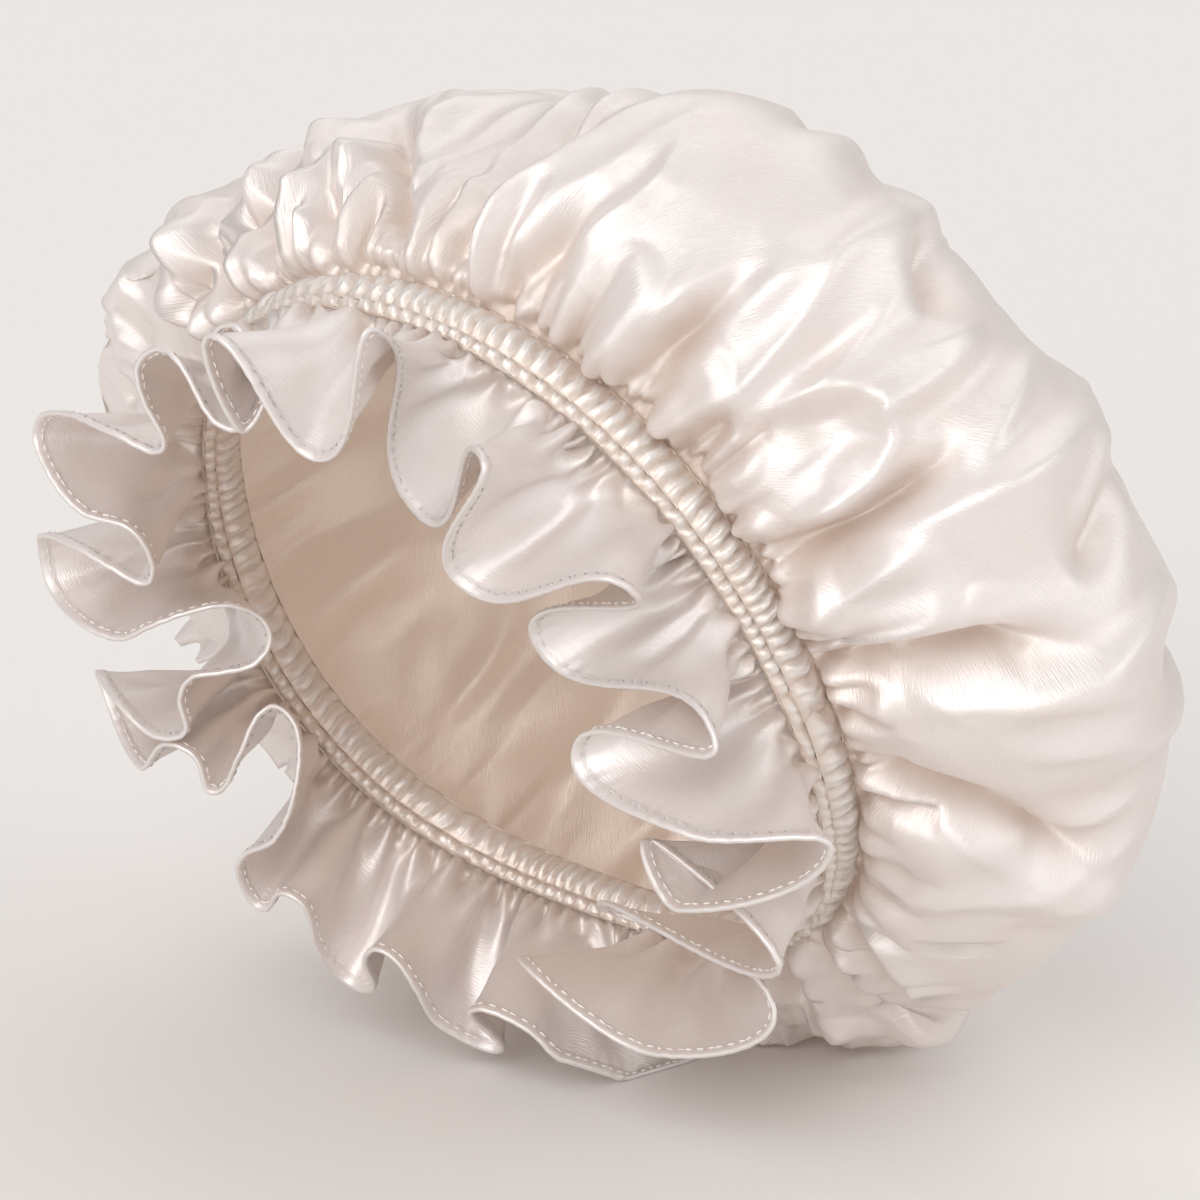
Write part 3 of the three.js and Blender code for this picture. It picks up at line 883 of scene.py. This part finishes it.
@dataclass
class Band:
    """The shirred casing of the elastic, with its cross pleats between lines of stitching."""

    ring: Ring
    pleats: int = 141
    per_pleat: int = 10
    half_width: float = 6.3
    edge: float = 0.55
    main_row: tuple[float, float, float] = (-5.7, 2.2, 2.5)
    small_row: tuple[float, float, float] = (2.9, 5.9, 1.8)
    samples: int = 19
    stitch_half: float = 1.15
    stitch_lift: float = 0.25
    # The height above the edge at which the painted shade of the grooves reaches full light.
    crest_height: float = 1.9
    fullness: float = 2.2
    flat: tuple[float, float] = (1.05, 0.0126)
    stitch_lines: tuple[float, ...] = (-5.85, 2.55, 6.0)

    def swell(self, fore: Array) -> Array:
        """Height of the two pleated rows across the band, 0 at the lines of stitching."""
        total = np.zeros_like(fore)
        for low, high, height in (self.main_row, self.small_row):
            share = np.clip((fore - low) / (high - low), 0, 1)
            total += height * np.sin(np.pi * share) ** 0.55
        return total

    def phase(self, angle: Array, fore: Array, side: Side) -> Array:
        """Place among the pleats of one face, which rises by a full turn from groove to groove."""
        rng = np.random.default_rng(21 if side is Side.OUTER else 22)
        phase = self.pleats * angle
        for k in range(1, 14):
            phase = phase + rng.normal(0, 1.6) * np.sin(k * angle + rng.uniform(0, 6.3))
        slant = 0.35 * np.sin(5 * angle + rng.uniform(0, 6.3)) + 0.25 * np.sin(23 * angle)
        return phase + slant * (fore - 1.0) * 0.35 + 0.5 * np.sin(fore * 0.9 + 9 * angle)

    def half_thickness(self, angle: Array, fore: Array, side: Side) -> Array:
        """Half the casing's thickness.

        Args:
            angle: Angles in radians.
            fore: Places across the band.
            side: The face that is asked for.

        Returns:
            Distances from the band's middle surface.
        """
        phase = self.phase(angle, fore, side)
        number = np.floor(phase / (2 * np.pi)).astype(int) % self.pleats
        size = np.random.default_rng(23).uniform(0.72, 1.15, self.pleats)[number]
        crest = np.abs(np.sin(phase / 2)) ** 0.6
        fine = 0.12 * np.cos(3 * phase + 0.8 * np.sin(fore)) + 0.07 * np.cos(5 * phase + 1.5 * fore)
        swell = self.swell(fore)
        return self.edge * (0.7 + 0.3 * crest) + swell * (size * (0.08 + 0.92 * crest) + fine * crest)

    def surface(self, angle: Array, fore: Array, side: Side) -> Array:
        """Points on one face of the casing."""
        half = self.half_thickness(angle, fore, side) * side.value
        radius = self.ring.radius_at(angle) + half
        return self.ring.place(angle, radius, fore + self.ring.lift_at(angle))

    def stitches(self) -> list[Stitch]:
        """The thread that pulls the pleats together, one stitch over each groove."""
        fine = np.linspace(0, 2 * np.pi, 9001)
        made = []
        for side in Side:
            for fore in self.stitch_lines:
                number = np.floor(self.phase(fine, np.full_like(fine, fore), side) / (2 * np.pi))
                grooves = fine[1:][np.diff(number) > 0]
                places = np.full_like(grooves, fore)
                lift = self.half_thickness(grooves, places, side) + self.stitch_lift
                radius = self.ring.radius_at(grooves) + side.value * lift
                spots = self.ring.place(grooves, radius, places + self.ring.lift_at(grooves))
                along_ring, outward = self.ring.along(grooves), self.ring.outward(grooves)
                for spot, along, up in zip(spots, along_ring, outward):
                    made.append(Stitch(spot, along * self.stitch_half, up))
        return made

    def build(self, stitching: bpy.types.Object) -> bpy.types.Object:
        """Builds the casing and seats it on its node."""
        columns = self.pleats * self.per_pleat
        angle = np.linspace(0, 2 * np.pi, columns, endpoint=False)
        fore = np.linspace(-1, 1, self.samples) * self.half_width
        grid_angle, grid_fore = np.meshgrid(angle, fore)
        outer = self.surface(grid_angle, grid_fore, Side.OUTER)
        inner = self.surface(grid_angle, grid_fore, Side.INNER)[::-1]
        points = np.concatenate([outer, inner])
        thick = self.half_thickness(grid_angle, grid_fore, Side.OUTER)
        # Painted shade: the colour darkens where the casing is thin, in the pleats' grooves.
        crest = (np.concatenate([thick, thick[::-1]]) - self.edge) / self.crest_height
        around = np.append(angle, 2 * np.pi) * self.ring.radius * self.fullness * MM
        across = np.concatenate([fore, 2 * self.half_width + fore]) * MM
        flat = np.stack(np.meshgrid(around, across), axis=-1)
        piece = ClothMesh("band_casing").build(points, flat, crest, wrap_rows=True)
        recalculate(piece)
        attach(piece, BODY)
        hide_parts("elastic_band")
        return piece


@dataclass(frozen=True)
class Bend:
    """A bend of the ruffle's hem: where it leaves the band, its lean outwards from the mouth's
    axis, its swing along the band, and its reach."""

    at: float
    lean: float
    swing: float
    reach: float = 40.0


@dataclass
class Ruffle:
    """The wavy frill on the mouth side of the band, with its narrow turned hem."""

    ring: Ring
    root: float = 6.6
    width: float = 40.0
    per_bend: int = 16
    columns: int = 1700
    blend: float = 38.0
    rows: int = 20
    wall: float = 0.5
    hem_wall: float = 1.1
    hem_width: float = 2.5
    hem_steps: tuple[float, ...] = (1.25, 1.0, 0.78, 0.4, 0.08, 0.0)
    hem_tip: float = 0.12
    gathers: int = 118
    seed: int = 5
    stitch_row: int = -4
    stitch_pitch: float = 2.8
    stitch_long: float = 2.0
    stitch_lift: float = 0.04
    flat: tuple[float, float] = (1.80, 0.040)
    area: float = 0.050
    length: float = 1800.0
    bends: tuple[Bend, ...] = entries(Bend, (
        (-15.4, -14, 21, 39.5), (-5.7, 25, 10, 39.9), (4.7, -13, 16, 39.5), (14.6, 44, 14, 39.8),
        (25.8, -61, -15, 39.4), (36.8, 31, -2, 39.9), (43.8, -29, -6, 40.9), (54.6, 35, 9, 39.9),
        (63.8, -50, -6, 39.6), (74.6, 32, 5, 39.9), (81.3, -36, -3, 42.8), (89.1, 8, 0, 40.0),
        (95.1, 49, -7, 39.9), (105.6, -10, -2, 39.9), (110.4, -38, -17, 39.3),
        (119.4, 19, -24, 39.7), (140.0, -57, 12, 41.6), (148.2, 13, -53, 39.2),
        (155.4, 2, -17, 39.7), (165.8, -32, 11, 40.1), (176.2, 83, -15, 40.1), (183, 17, -26),
        (187, 2, -26), (190, -5, -17), (193, -1, -16), (196, 27, -26), (200, 15, -16),
        (203, -3, -15), (206.5, -13, -13), (209.5, -14, -10), (212, -6, -12), (214, 10, -21),
        (218, 24, -19), (222, 4, -16), (225.5, -14, -11), (228, -12, -7), (230.5, 6, -11),
        (233, -1, -4), (235, -13, -3), (237, -28, -9), (239, -44, -5), (241, -59, 8),
        (243, -59, 17), (244.5, -51, 16), (246, -38, 6), (247, -21, -3), (248, -23, 9),
        (249, -13, 15), (250, 8, 7), (251.5, 38, 30), (253, 7, 25), (254.5, -10, 8),
        (256, -24, 3), (257.5, -28, 12), (259, -35, 15), (261, -45, 10), (263, -56, 5),
        (265, -64, 7), (267, -64, 13), (269, -55, 19), (270.5, -40, 19), (272, -25, 14),
        (273.5, -11, 6), (275, 7, 4), (277, 33, -1), (279, 39, 7), (281, 27, 15), (282.5, 4, 19),
        (284, -12, 14), (285.5, -24, 8), (287, -27, 14), (288.5, -19, 23), (290.5, 2, 19),
        (293, 21, 17), (296, 38, 15), (299, 25, 29), (303, 0, 33), (306.5, -20, 33),
        (309, -2, 42), (311, 10, 46), (313, 10, 52), (316, -2, 51), (319, -26, 39),
        (322, -34, 38), (325, -15, 46), (328, 5, 50), (331, 13, 52), (334, 10, 53),
        (338, -15, 43),
    ))

    def root_point(self, angle: Array) -> Array:
        """Points on the band's edge that the ruffle leaves from."""
        forward = self.root + self.ring.lift_at(angle)
        return self.ring.place(angle, self.ring.radius_at(angle), forward)

    def bend_points(self) -> Array:
        """The hem's bends, in millimetres."""
        table = np.array([(b.at, b.lean, b.swing, b.reach) for b in self.bends])
        angle, lean, swing = np.radians(table[:, :3]).T
        reach = table[:, 3:4]
        ahead = (np.cos(swing) * np.cos(lean))[:, None] * self.ring.fore
        outwards = (np.cos(swing) * np.sin(lean))[:, None] * self.ring.outward(angle)
        sideways = np.sin(swing)[:, None] * self.ring.along(angle)
        return self.root_point(angle) + reach * (ahead + outwards + sideways)

    def root_and_hem(self) -> tuple[Array, Array, Array]:
        """The band's edge and the hem, in columns that are evenly spaced along the hem.

        Returns:
            The angles at the band in radians, and the points at the band and at the hem.
        """
        bends = self.bend_points()
        count = len(bends)
        at = np.array([b.at for b in self.bends])
        u = (np.arange(self.per_bend) / self.per_bend)[:, None]
        angles, hems = [], []
        for i in range(count):
            before, start, end, after = (bends[(i + k) % count] for k in (-1, 0, 1, 2))
            span = np.linalg.norm(end - start)
            leaving = unit(end - before) * span
            arriving = unit(after - start) * span
            hems.append(
                start * (2 * u**3 - 3 * u**2 + 1)
                + end * (3 * u**2 - 2 * u**3)
                + leaving * (u**3 - 2 * u**2 + u)
                + arriving * (u**3 - u**2)
            )
            stretch = (at[(i + 1) % count] - at[i]) % 360.0
            angles.append(np.radians(at[i] + stretch * u[:, 0]))
        angle = np.concatenate([*angles, [angles[0][0] + 2 * np.pi]])
        hem = np.concatenate([*hems, hems[0][:1]])
        travelled = np.concatenate([[0.0], np.cumsum(np.linalg.norm(np.diff(hem, axis=0), axis=1))])
        self.length = float(travelled[-1])
        even = np.linspace(0, self.length, self.columns, endpoint=False)
        angle = np.interp(even, travelled, angle)
        hem = np.stack([np.interp(even, travelled, hem[:, k]) for k in range(3)], axis=1)
        return angle, self.root_point(angle), hem

    def middle(self) -> tuple[Array, Array]:
        """The ruffle's middle surface.

        Returns:
            Its points, rows by columns by 3, and the distance of each row from the band.
        """
        root, hem = self.root_and_hem()[1:]
        reach = np.linalg.norm(hem - root, axis=1, keepdims=True)
        arrow = (hem - root) / reach
        width = int(self.blend / self.length * self.columns)
        kernel = np.hanning(2 * width + 1)
        kernel /= kernel.sum()
        padded = np.concatenate([arrow[-width:], arrow, arrow[:width]])
        mean = np.stack([np.convolve(padded[:, k], kernel, mode="valid") for k in range(3)], axis=1)
        elbow = root + 0.42 * reach * (0.55 * unit(mean) + 0.45 * arrow)
        edge = self.hem_width / self.width
        inner = np.linspace(0, 1 - edge - 0.02, self.rows)
        hem_rows = 1 - edge * np.array(self.hem_steps)
        v = np.concatenate([inner[:-1], hem_rows])[:, None, None]
        surface = (1 - v) ** 2 * root + 2 * v * (1 - v) * elbow + v**2 * hem
        return surface, v[:, 0, 0]

    def puckers(self, travelled: Array, v: Array, angle: Array) -> Array:
        """Height of the small gathers at the band and of the puckers along the hem.

        Args:
            travelled: Distance along the hem, one for each column.
            v: Share of the way from the band to the hem, one for each row.
            angle: Angles at the band in radians.

        Returns:
            Heights, rows by columns.
        """
        rng = np.random.default_rng(self.seed)
        v = v[:, None]
        phase = self.gathers * angle
        for k in range(1, 20):
            phase = phase + rng.normal(0, 1.4) * np.sin(k * angle + rng.uniform(0, 6.3))
        height = 1.7 * np.sin(phase) * smooth(0.0, 0.04, v) * (1 - smooth(0.06, 0.26, v))
        slow = 0.5 * phase + 1.1 * np.sin(7 * angle)
        height = height + 2.2 * np.sin(slow) * smooth(0.02, 0.12, v) * (1 - smooth(0.14, 0.5, v))
        turn = 2 * np.pi * travelled / self.length
        middle = smooth(0.1, 0.4, v) * (1 - smooth(0.66, 0.95, v))
        height = height + 1.1 * np.sin(67 * turn + 3.0 * v + np.sin(25 * turn)) * middle
        ripple = round(self.length / 4.1) * turn
        for k in range(1, 9):
            size, place = rng.normal(0, 1.5), 2 * np.pi * k * travelled / self.length
            ripple = ripple + size * np.sin(place + rng.uniform(0, 6.3))
        line = 1 - self.hem_width / self.width
        near = bell((v - line) / 0.055)
        return height + 0.22 * np.sin(ripple) * near * (0.6 + 0.4 * np.sin(97 * turn))

    def surfaces(self) -> tuple[Array, Array, Array, Array]:
        """The ruffle's two faces with its hem.

        Returns:
            The middle surface, its normals, half thickness of each row, and shares of the way out.
        """
        middle, v = self.middle()
        angle = self.root_and_hem()[0]
        travelled = np.linspace(0, self.length, self.columns, endpoint=False)
        normals = grid_normals(middle)
        middle = middle + normals * self.puckers(travelled, v, angle)[..., None]
        middle[..., 2] = np.maximum(middle[..., 2], self.hem_wall / 2 + CLEARANCE)
        normals = grid_normals(middle)
        flatten = (1 - smooth(0.0, 0.10, v))[:, None]
        along_root = unit(self.ring.outward(angle))[None]
        turned = np.where((normals * along_root).sum(-1, keepdims=True) < 0, -along_root, along_root)
        normals = unit(normals * (1 - flatten[..., None]) + turned * flatten[..., None])
        line = 1 - self.hem_width / self.width
        half = np.full(len(v), self.wall / 2)
        half = np.where(v >= line - 1e-6, self.hem_wall / 2, half)
        half[-6:-4] = self.wall / 2
        half[-1] = self.hem_tip
        return middle, normals, half, v

    def stitches(self) -> list[Stitch]:
        """The hem's line of stitching, seen on both faces."""
        middle, normals, half, _ = self.surfaces()
        line, up, lift = middle[self.stitch_row], normals[self.stitch_row], half[self.stitch_row]
        count = round(self.length / self.stitch_pitch)
        starts = np.arange(count) * self.columns / count
        span = self.stitch_long / self.length * self.columns
        made = []
        for start in starts:
            first, last = int(start) % self.columns, int(start + span) % self.columns
            halfway = int(start + span / 2) % self.columns
            for face in (1, -1):
                spot = (line[first] + line[last]) / 2 + face * up[halfway] * (lift + self.stitch_lift)
                made.append(Stitch(spot, (line[last] - line[first]) / 2, up[halfway]))
        return made

    def build(self, stitching: bpy.types.Object) -> bpy.types.Object:
        """Builds the ruffle and seats it on its node."""
        middle, normals, half, v = self.surfaces()
        front = middle + normals * half[:, None, None]
        back = (middle - normals * half[:, None, None])[::-1]
        points = np.concatenate([front, back])
        points[..., 2] = np.maximum(points[..., 2], CLEARANCE)
        columns = points.shape[1]
        around = np.linspace(0, self.length, columns + 1) * MM
        across = np.concatenate([v, 2.0 - v[::-1]]) * self.width * MM
        flat = np.stack(np.meshgrid(around, across), axis=-1)
        # Painted shade: the colour darkens towards the band, among the gathers at the root.
        crest = np.broadcast_to((0.4 + 0.6 * smooth(0.0, 0.3, v))[:, None], middle.shape[:2])
        crest = np.concatenate([crest, crest[::-1]])
        piece = ClothMesh("ruffle_cloth").build(points, flat, crest, wrap_rows=True)
        recalculate(piece)
        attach(piece, BODY)
        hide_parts("ruffle")
        return piece


@dataclass(frozen=True)
class SatinFinish:
    """Pearl satin: its own colour, the painted shade of its folds and of its inside, its gloss and its
    yarns.
    """

    name: str = "pearl_satin"
    light: tuple[float, float, float] = (0.955, 0.92, 0.91)
    # Painted shade, mixed in deep in the folds by the crest attribute.
    deep: tuple[float, float, float] = (0.83, 0.725, 0.65)
    # Painted shade of the crown's inside, seen on back faces.
    inner: tuple[float, float, float] = (0.90, 0.79, 0.70)
    through: tuple[float, float, float] = (0.98, 0.86, 0.76)
    thin: float = 0.2
    roughness: float = 0.40
    metallic: float = 0.52
    anisotropy: float = 0.45
    sheen: float = 0.1
    sheen_roughness: float = 0.4
    gloss: float = 0.75
    bump: float = 0.4
    bump_height: float = 0.0004

    def material(self) -> bpy.types.Material:
        """Builds the satin's node material."""
        material = bpy.data.materials.new(self.name)
        material.use_nodes = True
        tree = material.node_tree
        nodes = tree.nodes
        shader = nodes["Principled BSDF"]
        set_values(
            shader,
            {
                "Roughness": self.roughness,
                "Metallic": self.metallic,
                "Sheen Weight": self.sheen,
                "Sheen Roughness": self.sheen_roughness,
                "Specular IOR Level": self.gloss,
                "Anisotropic": self.anisotropy,
            },
        )
        cloth = nodes.new("ShaderNodeUVMap")
        cloth.uv_map = "cloth"
        yarns = nodes.new("ShaderNodeGroup")
        yarns.node_tree = satin_yarns()
        # The crest attribute holds the painted shade of the folds.
        crest = nodes.new("ShaderNodeAttribute")
        crest.attribute_name = "crest"
        mix = colour_mix(nodes, A=self.deep, B=self.light)
        # Back faces, the crown's inside, take the painted inside shade.
        side = nodes.new("ShaderNodeNewGeometry")
        inside_shade = colour_mix(nodes, B=self.inner)
        bump = nodes.new("ShaderNodeBump")
        set_values(bump, {"Strength": self.bump, "Distance": self.bump_height})
        tangent = nodes.new("ShaderNodeTangent")
        tangent.direction_type = "UV_MAP"
        tangent.uv_map = "cloth"
        through = nodes.new("ShaderNodeBsdfTranslucent")
        through.inputs["Color"].default_value = (*self.through, 1.0)
        blend = nodes.new("ShaderNodeMixShader")
        blend.inputs["Fac"].default_value = self.thin
        connect(tree, (
            (cloth, "UV", yarns, "Vector"),
            (crest, "Fac", yarns, "Crest"),
            (yarns, "Shade", mix, "Factor"),
            (side, "Backfacing", inside_shade, "Factor"),
            (mix, "Result", inside_shade, "A"),
            (inside_shade, "Result", shader, "Base Color"),
            (yarns, "Height", bump, "Height"),
            (bump, "Normal", shader, "Normal"),
            (tangent, "Tangent", shader, "Tangent"),
            (bump, "Normal", through, "Normal"),
            (shader, "BSDF", blend, 1),
            (through, "BSDF", blend, 2),
            (blend, "Shader", nodes["Material Output"], "Surface"),
        ))
        return material


@dataclass(frozen=True)
class ThreadFinish:
    """Twisted sewing thread: its two shades and the pitch of its twist."""

    name: str
    light: tuple[float, float, float]
    deep: tuple[float, float, float]
    roughness: float = 0.55
    sheen: float = 0.3
    twist: float = 9000.0
    bump: float = 0.3
    bump_height: float = 0.0001

    def material(self) -> bpy.types.Material:
        """Builds the thread's node material."""
        material = bpy.data.materials.new(self.name)
        material.use_nodes = True
        nodes = material.node_tree.nodes
        shader = nodes["Principled BSDF"]
        set_values(shader, {"Roughness": self.roughness, "Sheen Weight": self.sheen})
        place = nodes.new("ShaderNodeTexCoord")
        twist = nodes.new("ShaderNodeTexNoise")
        set_values(twist, {"Scale": self.twist, "Detail": 1.0})
        mix = colour_mix(nodes, A=self.deep, B=self.light)
        bump = nodes.new("ShaderNodeBump")
        set_values(bump, {"Strength": self.bump, "Distance": self.bump_height})
        connect(material.node_tree, (
            (place, "Object", twist, "Vector"),
            (twist, "Fac", mix, "Factor"),
            (mix, "Result", shader, "Base Color"),
            (twist, "Fac", bump, "Height"),
            (bump, "Normal", shader, "Normal"),
        ))
        return material


def satin_yarns() -> bpy.types.NodeTree:
    """The satin's yarns: fine streaks along the warp and soft random differences in tone, to
    which the painted shade of the folds is added.

    Returns:
        A node group with the inputs Vector and Crest, the painted shade of the folds, and the
        outputs Shade, which mixes the two colours, and Height.
    """
    name = "satin_yarns"
    if name in bpy.data.node_groups:
        return bpy.data.node_groups[name]
    group = bpy.data.node_groups.new(name, "ShaderNodeTree")
    for socket, way, kind in (
        ("Vector", "INPUT", "Vector"),
        ("Crest", "INPUT", "Float"),
        ("Shade", "OUTPUT", "Float"),
        ("Height", "OUTPUT", "Float"),
    ):
        group.interface.new_socket(socket, in_out=way, socket_type=f"NodeSocket{kind}")
    nodes = group.nodes
    entry = nodes.new("NodeGroupInput")
    leave = nodes.new("NodeGroupOutput")
    stretch = nodes.new("ShaderNodeMapping")
    stretch.inputs["Scale"].default_value = (300.0, 3200.0, 1.0)
    streaks = nodes.new("ShaderNodeTexNoise")
    set_values(streaks, {"Scale": 1.0, "Detail": 3.0})
    clouds = nodes.new("ShaderNodeTexNoise")
    set_values(clouds, {"Scale": 45.0, "Detail": 2.0})
    # The crest node adds the painted shade of the folds to the yarns' tone.
    shade, crest = nodes.new("ShaderNodeMath"), nodes.new("ShaderNodeMath")
    shade.operation = crest.operation = "ADD"
    crest.use_clamp = True
    soft = nodes.new("ShaderNodeMapRange")
    set_values(soft, {"From Min": 0.25, "From Max": 0.75, "To Min": -0.12, "To Max": 0.12})
    fine = nodes.new("ShaderNodeMapRange")
    set_values(fine, {"From Min": 0.2, "From Max": 0.8, "To Min": -0.08, "To Max": 0.08})
    connect(group, (
        (entry, "Vector", stretch, "Vector"),
        (stretch, "Vector", streaks, "Vector"),
        (entry, "Vector", clouds, "Vector"),
        (clouds, "Fac", soft, "Value"),
        (streaks, "Fac", fine, "Value"),
        (soft, "Result", shade, 0),
        (fine, "Result", shade, 1),
        (shade, "Value", crest, 0),
        (entry, "Crest", crest, 1),
        (crest, "Value", leave, "Shade"),
        (streaks, "Fac", leave, "Height"),
    ))
    return group


@dataclass(frozen=True)
class Light:
    """A soft light: where it shines from, how wide it looks in degrees, its power and tint."""

    name: str
    place: tuple[float, float, float]
    spread: float
    power: float
    tint: tuple[float, float, float]


@dataclass
class Studio:
    """The pale floor, the soft lights and the camera."""

    aim: tuple[float, float, float] = (5.11, -17.39, 116.03)
    distance: float = 1000.0
    elevation: float = 15.0
    focal_pixels: float = 4490.0
    image_pixels: float = 1200.0
    floor_shade: tuple[float, float, float] = (0.84, 0.82, 0.80)
    air_shade: tuple[float, float, float] = (1.0, 0.975, 0.965)
    air_power: float = 0.55
    lights: tuple[Light, ...] = entries(Light, (
        ("key", (-0.55, -1.0, 1.0), 50.0, 1.0, (1.0, 0.98, 0.975)),
        ("front", (-0.45, -1.2, 0.18), 60.0, 1.0, (1.0, 0.98, 0.97)),
        ("right", (1.3, -0.5, 0.6), 50.0, 0.6, (0.985, 0.985, 1.0)),
        ("back", (0.15, 0.9, 1.3), 50.0, 0.4, (1.0, 0.99, 0.98)),
    ))

    def camera(self) -> None:
        """Sets the camera at the photograph's viewing angle."""
        data = bpy.data.cameras.new("camera")
        data.sensor_width = 36.0
        data.lens = 36.0 * self.focal_pixels / self.image_pixels
        camera = bpy.data.objects.new("camera", data)
        rise = math.radians(self.elevation)
        away = Vector((0, -math.cos(rise), math.sin(rise))) * self.distance
        camera.location = (Vector(self.aim) + away) * MM
        camera.rotation_euler = (math.radians(90 - self.elevation), 0, 0)
        bpy.context.scene.collection.objects.link(camera)
        bpy.context.scene.camera = camera

    def floor(self) -> None:
        """Lays the pale floor."""
        bm = bmesh.new()
        bmesh.ops.create_grid(bm, x_segments=1, y_segments=1, size=6.0)
        floor = add_to_scene("floor", bm)
        material = bpy.data.materials.new("pale_floor")
        material.use_nodes = True
        shader = material.node_tree.nodes["Principled BSDF"]
        set_values(
            shader, {"Base Color": (*self.floor_shade, 1), "Roughness": 0.9, "Specular IOR Level": 0.2}
        )
        floor.data.materials.append(material)

    def hang(self, light: Light) -> None:
        """Hangs a wide soft light far away, which lights the whole floor evenly."""
        data = bpy.data.lights.new(light.name, "SUN")
        data.angle = math.radians(light.spread)
        data.energy = light.power
        data.color = light.tint
        lamp = bpy.data.objects.new(light.name, data)
        lamp.rotation_euler = (-Vector(light.place)).to_track_quat("-Z", "Y").to_euler()
        bpy.context.scene.collection.objects.link(lamp)

    def build(self) -> None:
        """Builds the studio."""
        self.camera()
        self.floor()
        for light in self.lights:
            self.hang(light)
        world = bpy.data.worlds.new("studio")
        world.use_nodes = True
        background = world.node_tree.nodes["Background"]
        set_values(background, {"Color": (*self.air_shade, 1), "Strength": self.air_power})
        scene = bpy.context.scene
        scene.world = world
        scene.view_settings.view_transform = "Standard"


def main() -> None:
    """Builds the studio and the bonnet's pieces in order, and reports each one."""
    Studio().build()
    ring = Ring()
    satin = SatinFinish().material()
    # The band's satin: its deep colour is the painted shade in the pleats' grooves.
    shirred = SatinFinish(
        name="shirred_satin",
        light=(0.985, 0.955, 0.925),
        deep=(0.90, 0.79, 0.70),
        roughness=0.40,
    ).material()
    white = ThreadFinish("hem_thread", (0.985, 0.955, 0.93), (0.93, 0.87, 0.82)).material()
    cream = ThreadFinish("band_thread", (0.95, 0.87, 0.79), (0.87, 0.76, 0.66)).material()
    band, ruffle = Band(ring), Ruffle(ring)
    crown_cloth = Crown(ring).build()
    band_threads = Stitching("band_stitching", "shirred_satin").build(band.stitches())
    hem_threads = Stitching("hem_stitching", "satin").build(ruffle.stitches())
    band_casing = band.build(band_threads)
    ruffle_cloth = ruffle.build(hem_threads)
    for piece, finish in (
        (crown_cloth, satin),
        (band_casing, shirred),
        (ruffle_cloth, satin),
        (band_threads, cream),
        (hem_threads, white),
    ):
        piece.data.materials.append(finish)
        LOG.info("%s: %d faces", piece.name, len(piece.data.polygons))


if __name__ == "__main__":
    main()
